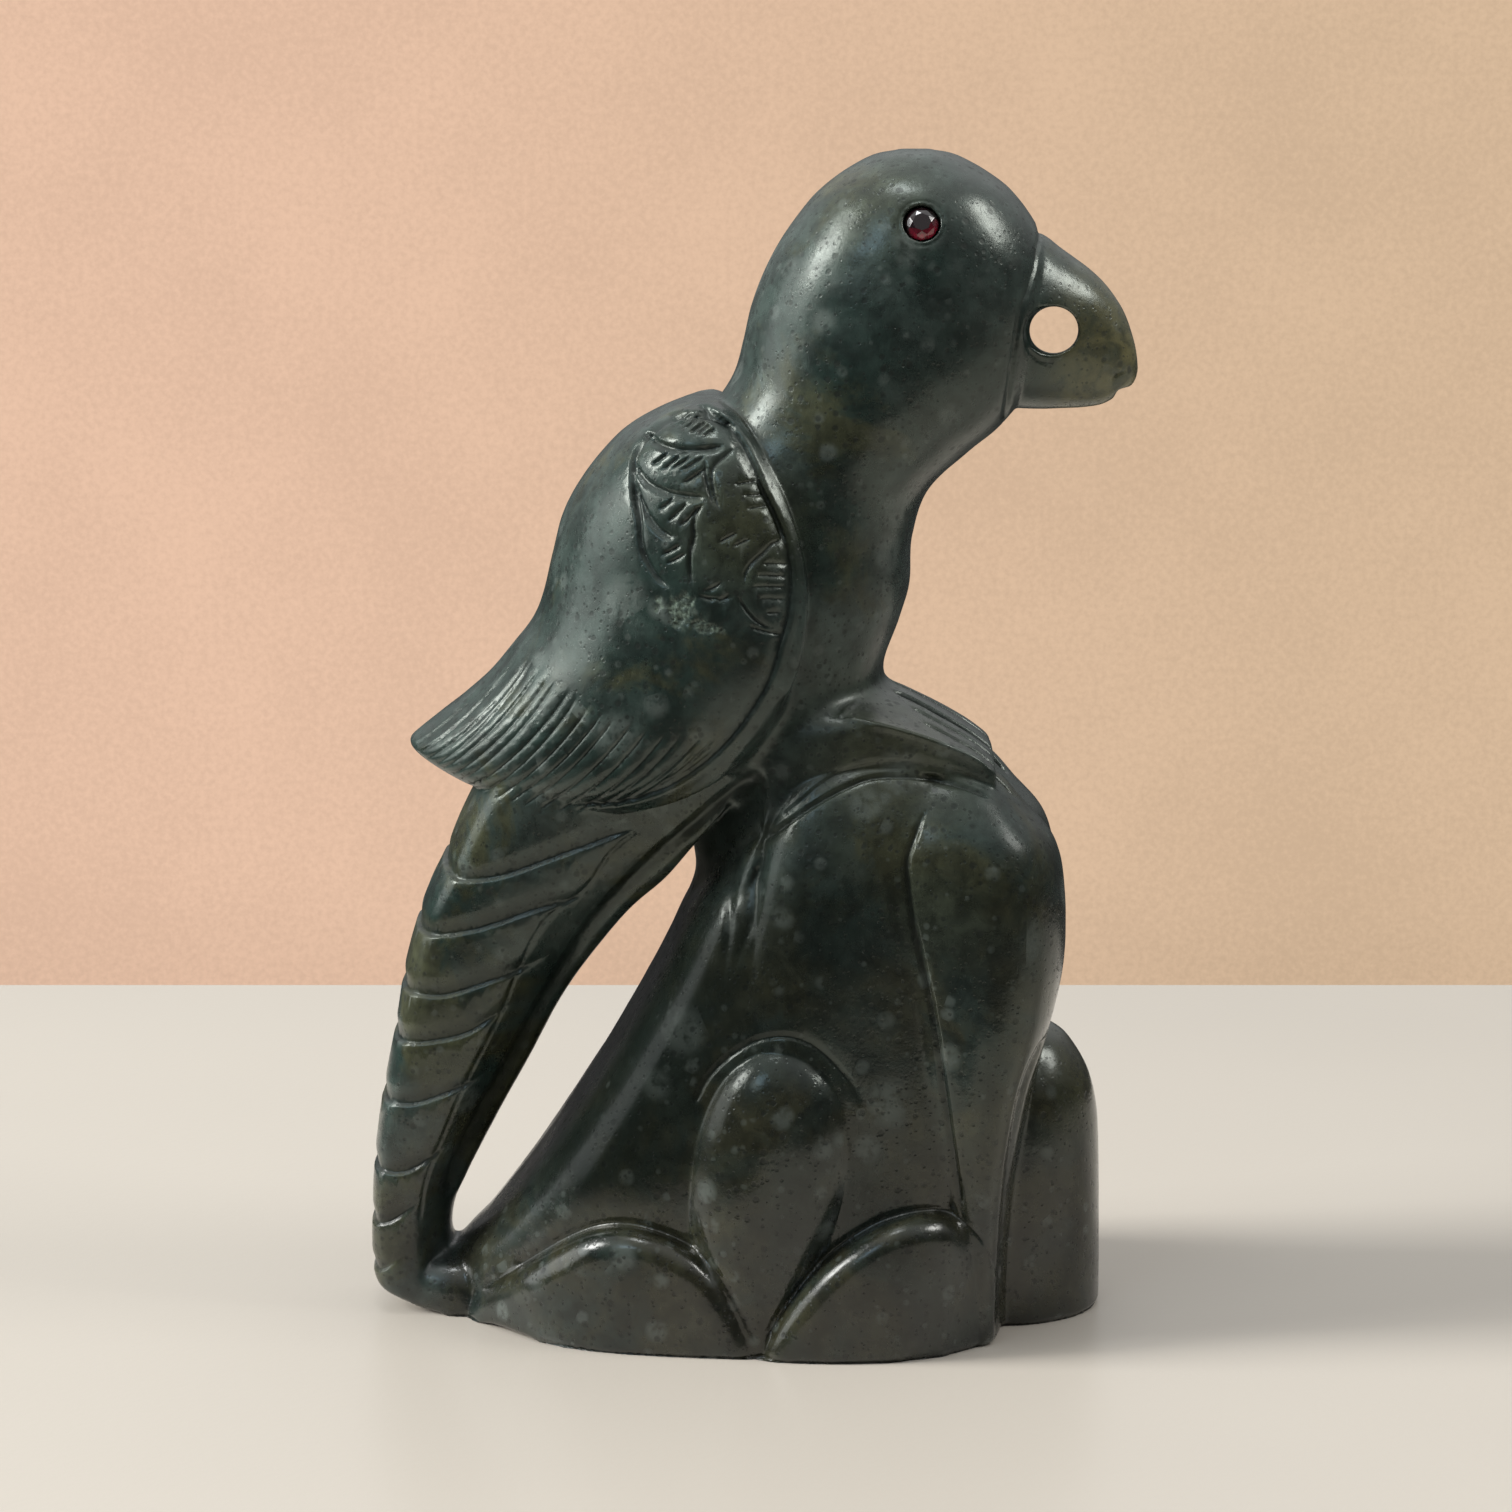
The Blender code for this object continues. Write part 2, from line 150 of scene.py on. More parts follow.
# The hooked beak, from inside the head to the tip: upper edge, lower edge.
BEAK = [
    (40, 186, 38, 157.5, 14), (48.6, 186.2, 45, 156.7, 12.6), (53.2, 183.4, 49.6, 156.5, 11),
    (58, 179.9, 53.8, 156.6, 9.2), (61.3, 176.4, 57.2, 156.8, 7.6), (63.8, 172.4, 60, 157.3, 6.2),
    (65.4, 167.6, 62.4, 158.6, 4.8), (66, 163.8, 64.2, 159.8, 3), (65.9, 162.2, 65.3, 160.8, 1.2),
]
# Both folded wings and the back between them: spine edge, leading edge or hem.
WINGS = [
    (-9.5, 158.4, -5, 158.6, 14), (-14.5, 156.8, -1.5, 156.4, 18.5), (-21.4, 152.8, 2.6, 150.6, 22.5),
    (-27.4, 146, 6.4, 142.8, 25.5), (-31.3, 139.2, 8.8, 135.2, 27), (-33.3, 132.3, 9.9, 127, 28),
    (-34.9, 125.4, 9, 118.2, 28.3), (-36.6, 121, 6.2, 109.8, 28), (-40, 116.6, 0.4, 101, 27),
    (-44.3, 111.6, -6.5, 95.2, 25.5), (-48.5, 107.8, -15, 91.4, 23.5), (-52.8, 104.4, -25, 90, 20.5),
    (-56.2, 101.8, -36.5, 90.8, 16.5), (-58, 100.2, -47, 93.2, 11), (-58, 98.8, -53, 95.6, 5),
]
# The tail, from under the wings down to the ground: outer edge, inner edge.
TAIL = [
    (-42, 102, 6, 101, 19), (-46, 94, -1.8, 92, 19.5), (-49.4, 87.4, -8.2, 84.6, 19), (-52.2, 80.6, -14, 77.6, 18.2),
    (-55, 74.6, -21, 70.8, 17.4), (-57.4, 68, -27.4, 62.6, 16.4), (-59.4, 60.4, -32.6, 54.6, 15.4),
    (-60.9, 51.4, -37.4, 45.4, 14.4), (-62.4, 44, -41.2, 38.4, 13.5), (-63.9, 35.7, -45.2, 31, 12.6),
    (-65, 27, -48.8, 23.8, 11.8), (-65.6, 18, -51.6, 17, 11.2), (-65.8, 10.4, -52, 9, 11), (-65.6, 6.4, -51, 4, 11),
    (-64.6, 3.8, -50, 0.6, 10.8), (-61.4, 2.4, -49, -2, 10.6), (-57.6, 1.2, -49, -3.6, 10.2),
]
# The stone left between the tail, the belly and the rock: one flat face, slanting back into the gap.
WEB = [
    (-15, 100, 9, 103, 18), (-13.4, 92, 8.6, 96, 19.4), (-11, 86, 6, 89, 20.4), (-9.3, 81, 2.6, 83, 20.8),
    (-9.2, 76, -0.6, 77, 21), (-12, 69, -3, 70, 20),
]
# The low bridge of stone that joins the foot of the tail to the rock.
HEEL = [
    (-56, -3, -37, -3, 12.2), (-60.4, 2, -39, 2.4, 12), (-61.2, 5.6, -41, 5.4, 11.4), (-59.6, 8.4, -43.4, 8, 9.4),
    (-56.6, 10.6, -46.4, 10, 5),
]
# Both feet, side by side, from the thighs to the toes: lower edge, upper edge.
FEET = [
    (2.6, 85.4, 3, 104, 20.6), (5, 88.6, 6, 109, 21), (10, 93.4, 13, 111.6, 21.4), (15, 96.2, 19, 111.4, 21.6),
    (21, 97.2, 25.4, 109.4, 21.4), (28, 96.9, 31.6, 106.4, 21.2), (35, 95.4, 37.2, 103.2, 20.8),
    (39.6, 93.6, 40.8, 100.6, 20.5), (41.4, 92.8, 41.8, 99.4, 20.2),
]
# The rock's inner mass, from the ground up: rear edge, front edge.
ROCK = [
    (-52, -3, 45, -3, 31.5), (-51.6, 4, 45, 4, 31.5), (-50.3, 11.8, 45.5, 11.8, 31), (-46.2, 15.8, 45.5, 15.8, 30.6),
    (-40.3, 23, 45.5, 23, 30.4), (-35, 30.3, 46, 30.3, 30.4), (-30.2, 37.5, 46.5, 37.5, 30.4),
    (-25.6, 44.6, 47, 44.6, 30.2), (-21.4, 51.8, 48, 51.8, 29.8), (-17.4, 58.9, 49, 58.9, 29.2),
    (-13.7, 66, 49.5, 66, 28.6), (-10.2, 73.1, 49.5, 73.1, 27.6), (-5, 80, 49, 80, 25.6), (0, 87, 46, 87, 23.2),
    (6, 94, 41, 94, 19.4), (11, 100, 35, 100, 14),
]
# The tall stone under a foot, and the hanging one in front of it.
TALL_STONE = [
    (12, 102, 27, 102, 5, 12), (8, 97.6, 32, 97.6, 9.6, 12), (4.6, 93, 34, 93, 12.2, 12),
    (2.6, 87, 34.4, 87, 14.4, 12), (0.6, 79, 34.4, 79, 16.2, 12), (-2.6, 68, 35.6, 68, 17.3, 12),
    (-6.4, 56, 38, 54, 18.3, 12), (-8, 42, 40, 40, 19, 12), (-8, 20, 41, 20, 19.6, 12), (-8, -3, 41, -3, 19.8, 12),
]
HANGING_STONE = [
    (30, 100, 37, 100, 4, 12), (26.6, 96.6, 42.6, 95.8, 9, 12), (25, 92.6, 46.6, 91.2, 12.8, 12.4),
    (23.6, 85.6, 52, 84.6, 16.6, 12.5), (23.6, 76, 53.8, 76, 18.4, 12.5), (25.4, 64, 53.7, 64, 19.2, 12.5),
    (27.6, 52, 51.2, 52, 19.4, 12.8), (30, 40, 48, 40, 19, 13), (32.2, 28, 45.6, 28, 18.4, 13),
    (34, 16, 44.4, 16, 17.4, 13), (35.4, 6, 44, 6, 16.4, 13), (36, -3, 44, -3, 16, 13),
]
# The egg-shaped stone low on the rock's side.
EGG_STONE = [
    (4.6, 53, 8.4, 53, 2.5, 24), (-0.6, 50.6, 12.4, 50.6, 6.6, 24), (-5.4, 45.6, 16.4, 45.6, 9.6, 24),
    (-8.8, 38, 18.7, 38, 11.4, 24), (-10.6, 30, 19, 30, 12, 23.8), (-11, 22, 17.2, 22, 12.2, 23.4),
    (-9.6, 12, 13, 12, 12.2, 23), (-6, 2, 8, 2, 12.2, 23), (-6, -3, 8, -3, 12.2, 23),
]
# The two stones beside the egg: the upper outline (x, z) and the front's plan (x, reach) of each.
LEFT_STONE = [
    (-52, -6), (-49.8, 1), (-46.4, 5), (-40.8, 9.6), (-31.4, 16.8), (-24.6, 20.2), (-17.8, 20.6), (-10.6, 18.2),
    (-5.8, 14.4), (-2.2, 9), (1.2, 2.4), (3.4, -6),
]
LEFT_PLAN = [(-52, 7), (-49, 12.4), (-44, 19.4), (-37, 26.2), (-29, 30.6), (-20, 33.4), (-8, 35.4), (3.4, 36.6)]
RIGHT_STONE = [
    (-0.4, -6), (2.8, 2.4), (6.6, 8.6), (11.4, 14.4), (17, 19.2), (23, 22.7), (28.8, 24), (34, 23.2), (38.6, 19.6),
    (41, 15), (42.4, 10), (43.4, 2.4), (44, -6),
]
RIGHT_PLAN = [(-0.4, 36), (5, 37.8), (12, 38.5), (20, 38.4), (28, 36.9), (35, 33.2), (40, 28), (44.6, 18.6)]
STONE_ROUNDING = 4.2
# The single stone that leans against the front of the rock.
FRONT_STONE = [
    (48, 49.6, 53, 49.6, 4), (41, 47.4, 56, 47, 9.6), (34, 41.6, 59.4, 41, 14), (29, 34, 61, 34, 16),
    (27, 24, 61.4, 24, 17), (26, 10, 61.6, 10, 17.4), (26, -3, 61.6, -3, 17.5),
]

# Where the right eye sits, the way that it looks, the ring round it and the depths that its socket runs between.
EYE_PLACE = (28.6, -18.2, 188.3)
EYE_AXIS = (0, -0.94, 0.34)
EYE_RING_HEIGHT, EYE_RING_RADIUS = 188.45, 3.75
SOCKET_DEPTHS = (-2.9, 3.3)
# The hole through the beak: its middle, then (y, radius as a share of the throat's, aside, rise) from side to side.
BEAK_HOLE = (51.8, 169.8)
BEAK_HOLE_RINGS = [(-20, 1.24, -1.9, 0.7), (-11.8, 1.06, -1.0, 0.5), (-9.6, 0.98, -0.6, 0.6), (0, 1.0, 0.0, 0.0),
                   (10, 1.1, 0.5, -0.5), (20, 1.25, 0.9, -0.9)]
# The step behind the beak's hooked tip, which is cut away.
BEAK_NOTCH = [(61.6, 150), (61.9, 157.6), (62.1, 159.2), (62.5, 160), (63.4, 160.2), (65, 160.4), (70, 161.4),
              (70, 150)]
NOTCH_REACH = 20
# A round brilliant's rings of corners: how many, across, height, turn.
GEM_RINGS = [(8, 0.54, 0.42, 0.0), (8, 0.78, 0.29, 0.5), (8, 0.995, 0.04, 0.0), (16, 1.0, 0.02, 0.25),
             (32, 1.0, -0.05, 0.0), (8, 0.5, -0.52, 0.0), (1, 0.0, -0.86, 0.0)]
GEM_EDGE = 0.00004


# ---------------------------------------------------------------------------------------------------------------------
# The carved lines, each through stations (x, z) on the side view, or (x, y) on the plan

WING_RIM = [
    (-8.8, 158.4), (-5.2, 157.2), (-2.3, 154.7), (-0.2, 151.7), (1.6, 148), (3, 144.5), (4.6, 141.5), (5.9, 138.5),
    (6.8, 135.5), (7.3, 131.5), (7.2, 127.5), (6.6, 123.5), (5.4, 119.5), (4, 114.5), (0.9, 108.8), (-2.8, 103.8),
    (-7, 99.6), (-11.8, 96), (-17, 93.6), (-23, 92), (-30, 91.6),
]
SCALE_ZONE = [
    (-1.2, 154.4), (-5.4, 156.4), (-9.6, 156.9), (-13.2, 155.9), (-16, 153.8), (-18.2, 151.2), (-19, 148.6),
    (-19, 145), (-18.4, 142), (-17.8, 139.5), (-17.7, 137), (-17.1, 134.5), (-15.8, 132.2), (-14.4, 130.4),
    (-12.6, 128.9),
]
SCALES = [
    [(-18, 153.8), (-16, 153.2), (-14.8, 152.6), (-12.8, 152), (-10, 151.7), (-6.6, 151.9), (-3.4, 152.3)],
    [(-18.9, 149.6), (-18.2, 148.2), (-17.4, 147), (-16, 145.9), (-13.3, 144.8), (-10.4, 144.3), (-6.3, 144.1)],
    [(-18.7, 146.3), (-17.8, 143.6), (-16.6, 141.2), (-15, 139.2), (-13.2, 137.9), (-11.3, 137.4)],
]
# Rows of strokes are (first rail, second rail, how many).
SCALE_HATCH = [
    ([(-10.8, 157.8), (-8.6, 157.1), (-5.2, 155)], [(-13.6, 156.4), (-11.6, 154.8), (-7.6, 153.6)], 7),
    ([(-13, 151.3), (-10.6, 150.9), (-6.8, 150.8), (-7, 148.6)],
     [(-16.4, 148.8), (-15, 147.9), (-11.4, 148.3), (-11.2, 146)], 5),
    ([(-12.2, 144), (-9.2, 143.3), (-7.4, 142.6)], [(-15, 141.8), (-13.1, 139.4), (-11.4, 138.9)], 3),
    ([(-11, 136.4), (-10, 135)], [(-14.6, 134.4), (-13.6, 133)], 2),
]
LEAVES = [
    [(-1.6, 152.2), (-4, 150.4), (-5.6, 148.8), (-5.9, 147.2), (-5.5, 144.6), (-4.8, 142.6), (-4, 141.6)],
    [(-7, 150.6), (-6.9, 147.4), (-6, 144), (-5.2, 142)],
    [(-6.8, 143.4), (-8.3, 141.7), (-8.9, 139.8), (-8.8, 137.6), (-9.4, 135.4), (-9.5, 132), (-8.8, 129.4)],
    [(6.6, 137), (4.3, 136.5), (2.6, 135), (0.6, 133.3), (-0.4, 131.6), (-0.7, 129.2)],
    [(-1.9, 128.8), (-0.5, 126.2), (1.3, 124.1), (3, 122.9), (4.9, 122.2)],
    [(-7.6, 128.5), (-5.5, 129.4), (-3.6, 130.8)],
    [(-5.6, 127.2), (-3.7, 127.8), (-2.2, 129)],
    [(-8.9, 128.3), (-5.2, 127.4), (-1.7, 128.1)],
    [(-0.6, 123.2), (3, 122.1), (6.5, 121.2)],
    [(1.2, 147.2), (2.6, 144.6), (3.9, 142), (5.2, 139), (6, 136)],
]
LEAF_HATCH = [
    ([(-2.4, 146.1), (-0.6, 143.9), (-0.3, 141.8)], [(1.5, 146.7), (2.4, 144.7), (3.5, 142.3)], 3),
    ([(-5, 136.6), (-2.4, 136)], [(-1.8, 138.4), (0.6, 137.3)], 2),
    ([(2.4, 133.3), (0.3, 129.8), (1.5, 127.6), (3, 125.1)], [(6.7, 133.2), (6.6, 129.9), (6.2, 127.6), (5.6, 125)],
     5),
]
QUILL_STARTS = [
    (-39.4, 117.4), (-38.3, 116.6), (-36.8, 115.8), (-34.6, 114.8), (-31.8, 113.2), (-28.6, 111.2), (-24.2, 108.8),
    (-19.6, 107.4), (-14.2, 105.4), (-8.6, 104.9), (-4.2, 105.4),
]
QUILL_ENDS = [
    (-57.4, 99.6), (-55.9, 98.7), (-54, 97.5), (-51.3, 95.6), (-48.2, 93.9), (-44.5, 92.8), (-40.6, 91.9),
    (-36, 91.2), (-31.3, 90.7), (-27, 90.7), (-22.6, 91.6), (-19.4, 92.6),
]
FINE_QUILLS = ([(-8, 103.6), (-5, 102.4)], [(-17.4, 93.9), (-12.6, 96.8)], 3)
TAIL_LEDGES = [
    [(-56, 83), (-51.8, 80), (-48.7, 78.3), (-41.7, 79), (-32.2, 82.4), (-24.6, 85.2), (-17.4, 87.8)],
    [(-60, 69.6), (-56, 68.7), (-52.7, 68.4), (-45, 69.8), (-37.4, 72.5), (-31.1, 74.2), (-26.2, 75.8)],
    [(-63, 58.4), (-58, 58), (-51.6, 57.8), (-45.2, 59.8), (-38.9, 61.9), (-33.6, 64.6)],
    [(-64, 49.4), (-59.8, 49.2), (-55, 49.4), (-48.5, 50.8), (-43.5, 53.6), (-39.6, 56.4)],
    [(-66, 38.4), (-62, 38.2), (-57.1, 38.3), (-52, 40), (-46.9, 42), (-44.4, 43.6)],
    [(-67, 26.4), (-63.5, 26), (-59.3, 25.8), (-55.4, 27.8), (-50.6, 31.4)],
    [(-68, 16.4), (-63.8, 16.3), (-61.4, 17), (-58.2, 19.3), (-55.8, 21.8)],
    [(-68, 7.4), (-64, 7.8), (-61.6, 9.2), (-59, 11.2)],
]
TAIL_DIVIDE = [
    (-17.2, 87.7), (-22.8, 83.2), (-27.4, 76.7), (-34.4, 70.9), (-38.9, 62.3), (-42, 54.4), (-48, 42.5), (-52, 33.2),
    (-55.4, 24.5), (-56.9, 15.8),
]
TAIL_HOLLOW = [
    (3, 97.4), (-3.4, 92.6), (-9.4, 87.4), (-14.4, 83), (-20.4, 77), (-26.8, 69.4), (-32.2, 60.6), (-37.8, 50.6),
    (-42.4, 42.2), (-46.8, 34.4), (-50.6, 26.4), (-52.8, 19.4),
]
FOOT_EDGE = [
    (2.6, 85.6), (7.4, 89.8), (12.4, 93.1), (17.1, 95.4), (20.8, 96.6), (26, 96.8), (31.3, 96.1), (36.7, 94.9),
    (41.2, 93),
]
FOOT_RIDGE = [
    [(15.4, 106.3), (17.6, 106.2), (20.4, 105.7), (24.5, 104.7), (30, 103), (36.6, 100.3), (40.5, 98)],
    [(14.6, 106), (16.6, 107.4), (18.8, 108.6)],
]
FOOT_BAND = [
    (5, 89.6), (8.3, 92.5), (11.8, 95.4), (15.3, 97.4), (20.6, 98.8), (24.3, 99.4), (27.8, 99.2), (33.2, 98.1),
    (37.6, 96.6), (41.6, 94.8),
]
TOES = [[(21, 0.8), (25, 0.6), (30, 0.4), (36, 0.2), (46, 0)]]
TOE_SLOTS = [[(24.4, -6), (29, -6.8), (35, -7.6), (46, -8.2)], [(24.4, 6), (29, 6.8), (35, 7.6), (46, 8.2)]]
TOE_LINES = [
    [(27, -10.4), (34, -11.6), (46, -12.2)],
    [(29, -14.6), (36, -16), (46, -16.6)],
    [(27, 10.4), (34, 11.6), (46, 12.2)],
    [(29, 14.6), (36, 16), (46, 16.6)],
]
BEAK_STEP = [
    (49.6, 188), (49.2, 186), (48.3, 183.5), (47.6, 180.6), (46.4, 177), (45.5, 174.3), (44.8, 170.6), (44.3, 166.8),
    (43.8, 161.6), (43.5, 157.6), (43.4, 155),
]
BEAK_MOUTH = [(50.6, 174.7), (48.2, 173.8), (46.6, 171.6), (46.3, 169.2), (47.2, 166.8), (49.2, 165.2), (51.8, 164.9)]
TIP_LINE = [(61.9, 160.2), (61.4, 161.6), (62.2, 162.8), (64.4, 163.3)]
MIDDLE_CREASE = [
    (31, 92.4), (29, 90.4), (27.6, 87), (26.4, 83.6), (26.7, 79.4), (27.5, 73.6), (28.9, 67.2), (30.4, 60.6),
    (31.6, 53.4), (33.2, 42), (34.8, 31), (36.6, 20),
]
FOLDS = [
    [(2.4, 87.4), (-1.4, 83), (-2.8, 77), (-3.4, 69), (-4.4, 60)],
    [(2.8, 86), (2, 80), (1.2, 74.6), (-0.8, 68.4), (-3.2, 62)],
]
EGG_RING = [
    (-9, 41.6), (-6.9, 46.2), (-3.2, 50.2), (1.6, 53.2), (6.6, 54.1), (10.9, 52.7), (14.6, 49.4), (17.8, 45.2),
    (19.4, 40.6),
]
LEFT_LOBE = [
    (-46.4, 5.4), (-40.8, 10), (-31.4, 17.2), (-24.6, 20.6), (-17.8, 21), (-10.4, 18.6), (-5.5, 14.7), (-1.9, 9.2),
    (1.4, 2.6),
]
RIGHT_LOBE = [
    (2.5, 2.6), (6.3, 8.8), (11.1, 14.7), (16.8, 19.6), (22.9, 23.1), (28.9, 24.4), (34.2, 23.6), (38.9, 19.9),
    (41.4, 15.2), (42.8, 10.1),
]
FRONT_EDGE = [(51.6, 52.6), (48.6, 50), (46.4, 45), (45, 38), (44, 30), (43.4, 20), (43, 8), (42.8, -2)]
# Where forms flow into each other: these seams are melted away before anything is carved.
SEAMS = [
    [(1, 94), (4, 100.6), (7.4, 105), (12.6, 108.4), (18.6, 110.6), (22, 111.6)],
    [(-57, 16), (-61, 11), (-61.6, 6), (-58, 1)],
    [(-55, 16), (-50, 14), (-45.6, 11.6), (-43, 7), (-41, 2)],
]
SOFT_SEAMS = [
    [(29.4, 92), (27.6, 88), (26.4, 84), (26.6, 78), (27.6, 71), (29, 63), (30.8, 54), (33, 42), (34.8, 31),
     (36.6, 20)],
    FRONT_EDGE,
    [(-1, 82), (-6, 73.6), (-9.4, 66), (-12.9, 59), (-16.7, 52), (-20.7, 44.6), (-25, 37.5), (-29.5, 30.3),
     (-34.5, 23), (-39, 17.4)],
]
SEAM_WIDTH, SOFT_SEAM_WIDTH = 6, 3.5
# Where the stone has flaked: centre, size, tilt in degrees. Its depth and its grain are in metres.
FLAKES = [((-11.6, -27, 125.6), (3.6, 5, 2.9), -30), ((-7.4, -27, 122.9), (4.6, 5, 1), -12)]
FLAKE_DEPTH, FLAKE_GRAIN = 0.0004, 0.0007


# ---------------------------------------------------------------------------------------------------------------------
# Lofts


def smooth_rows(rows, steps):
    """Rows of numbers with Catmull-Rom curves run through each column, steps to each gap."""
    rows = np.array(rows, float)
    ends = np.vstack([2 * rows[0] - rows[1], rows, 2 * rows[-1] - rows[-2]])
    t = (np.arange(steps) / steps)[None, :, None]
    before, here, there, after = (ends[i : len(ends) - 3 + i, None, :] for i in range(4))
    curve = 0.5 * (2 * here + (there - before) * t + (2 * before - 5 * here + 4 * there - after) * t * t
                   + (3 * here - before - 3 * there + after) * t**3)
    return np.vstack([curve.reshape(-1, rows.shape[1]), rows[-1]])


def mirrored(across, out):
    """Closes half a section, drawn from the first edge to the second, with its mirror image."""
    return np.concatenate([across, across[:0:-1]]), np.concatenate([out, -out[:0:-1]])


def oval(squareness, at_end=None):
    """A closed oval section: across runs from the first edge to the second, out is the half thickness."""
    def section(way, points):
        power = 2 / (squareness + way * ((at_end or squareness) - squareness))
        turn = np.linspace(0, 2 * math.pi, points, endpoint=False)
        across, out = -np.cos(turn), np.sin(turn)
        return np.sign(across) * np.abs(across) ** power, np.sign(out) * np.abs(out) ** power
    return section


def shell(way, points):
    """The wings' section: round at the spine, fullest towards the hem, and cut off blunt there."""
    across = (1 - np.cos(np.linspace(0, math.pi / 2, points // 2))) ** 1.1
    reach = 0.36 + 0.36 * min(way / 0.22, 1)
    rise = np.sqrt(1 - (1 - np.minimum(across / reach, 1)) ** 2)
    fall = 1 - 0.1 * np.clip((across - 0.72) / 0.28, 0, 1) ** 2
    return mirrored(2 * across - 1, rise * fall)


def drawn(steps, corners, change=None, share=None):
    """Half a section, drawn through its corners. Share says how much of the change is added on the way along."""
    def section(way, points):
        now = np.array(corners, float) + (np.array(change) * share(way) if share else 0)
        return mirrored(*smooth_rows(now, steps).T)
    return section


# The tail: a rounded outer edge and a flat face, chamfered to an inner edge that thins lower down.
blade = drawn(6, [
    (-1, 0), (-0.99, 0.35), (-0.93, 0.68), (-0.8, 0.9), (-0.6, 0.98), (-0.3, 1), (0.2, 0.97), (0.5, 0.76), (0.8, 0.52),
    (0.96, 0.36), (1, 0.2), (1, 0)],
    [(0, 0)] * 7 + [(0, 0.14), (0, 0.3), (0, 0.42), (0, 0.5), (0, 0)],
    lambda way: np.clip((0.42 - way) / 0.3, 0, 1))
# The stone between tail and rock: thin at its first edge, it widens in one flat face to its second.
wedge = drawn(6, [
    (-1, 0), (-0.98, 0.14), (-0.9, 0.22), (-0.4, 0.48), (0.1, 0.74), (0.55, 0.95), (0.8, 1), (1, 0.95), (1, 0)])
# The hanging stone: a nearly flat first half and a round second half.
slab = drawn(6, [
    (-1, 0), (-0.99, 0.5), (-0.96, 0.72), (-0.9, 0.81), (-0.6, 0.91), (-0.2, 0.985), (0.1, 1), (0.4, 0.95),
    (0.65, 0.82), (0.85, 0.58), (0.96, 0.32), (1, 0.12), (1, 0)])
# The feet: upright sides up to a ridge on each side, and a top that rises to a crown between them.
instep = drawn(5, [
    (-1, 0), (-1, 0.5), (-0.99, 0.85), (-0.92, 0.975), (-0.7, 1), (-0.2, 1), (0.2, 1), (0.30, 0.995), (0.35, 0.955),
    (0.60, 0.68), (0.82, 0.42), (0.96, 0.2), (1, 0)])
ROCK_LOW = np.array([
    (-1, 0), (-0.985, 0.15), (-0.955, 0.27), (-0.9, 0.4), (-0.84, 0.49), (-0.78, 0.56), (-0.7, 0.635), (-0.4, 0.87),
    (0, 1), (0.4, 0.97), (0.75, 0.84), (0.94, 0.56), (1, 0.24), (1, 0)])
ROCK_HIGH = np.array([
    (-1, 0), (-0.985, 0.24), (-0.965, 0.41), (-0.93, 0.56), (-0.88, 0.68), (-0.82, 0.765), (-0.72, 0.84), (-0.4, 0.96),
    (0, 1), (0.4, 0.96), (0.75, 0.8), (0.94, 0.5), (1, 0.2), (1, 0)])


def above_ground(way):
    share = np.clip((way - 0.10) / 0.24, 0, 1)
    return share * share * (3 - 2 * share)


# The rock: a face that rounds into the gap behind it, bent back near the ground.
boulder = drawn(5, ROCK_LOW, ROCK_HIGH - ROCK_LOW, above_ground)


def skin(rings):
    """(points, faces) of the closed skin over rings of equal length, a cap at each end, facing outwards."""
    rings = np.array(rings, float)
    count, around = rings.shape[:2]
    points = rings.reshape(-1, 3)
    first = (np.arange(count - 1)[:, None] * around + np.arange(around)).ravel()
    beside = (np.arange(count - 1)[:, None] * around + (np.arange(around) + 1) % around).ravel()
    walls = np.stack([first, beside, beside + around, first + around], 1)
    caps = [np.arange(around)[::-1], (count - 1) * around + np.arange(around)]
    triangles = np.concatenate([walls[:, :3], walls[:, [0, 2, 3]]]
                               + [np.stack([np.full(around - 2, cap[0]), cap[1:-1], cap[2:]], 1) for cap in caps])
    volume = np.linalg.det(points[triangles]).sum()
    faces = walls.tolist() + [cap.tolist() for cap in caps]
    return points, [face[::-1] for face in faces] if volume < 0 else faces


def loft(form, stations, section, side=1):
    """A closed skin over the stations. Nothing reaches below the ground."""
    rows = smooth_rows([(*station, 0)[:6] for station in stations], form.steps)
    rings = []
    for index, (x1, z1, x2, z2, half, centre) in enumerate(rows):
        across, out = section(index / (len(rows) - 1), form.ring_points)
        rings.append(np.stack([(x1 + x2) / 2 + (x2 - x1) / 2 * across, centre * side + half * out,
                               np.maximum((z1 + z2) / 2 + (z2 - z1) / 2 * across, 0)], 1) * UNIT)
    return skin(rings)


def relief(form, outline, plan, side):
    """A stone that stands out of the rock, with a rounded edge all along its outline."""
    edge = smooth_rows(outline, form.steps)
    middle = np.array([(edge[0, 0] + edge[-1, 0]) / 2, -3.0])
    reach_x, reach_y = smooth_rows(plan, form.steps).T
    from_middle = np.linalg.norm(edge - middle, axis=1)[:, None]
    # Each ring is set in from the outline and back from the front: first the wall, then the rounding, then the face.
    rounding = [(1 - math.cos(a), 1 - math.sin(a)) for a in np.linspace(0, math.pi / 2, 12)[1:]]
    rings = []
    for inset, setback in [(0.0, 25.0), (0.0, 1.0), *rounding, (2.6, 0.0), (5.0, 0.0)]:
        points = middle + (edge - middle) * np.maximum(1 - inset * STONE_ROUNDING / from_middle, 0.1)
        reach = np.interp(points[:, 0], reach_x, reach_y) - setback * (STONE_ROUNDING if setback <= 1 else 1)
        rings.append(np.stack([points[:, 0], side * np.maximum(reach, 2.0), np.maximum(points[:, 1], 0)], 1) * UNIT)
    return skin(rings)


# ---------------------------------------------------------------------------------------------------------------------
# Small helpers


def link(name, data):
    obj = bpy.data.objects.new(name, data)
    bpy.context.scene.collection.objects.link(obj)
    return obj


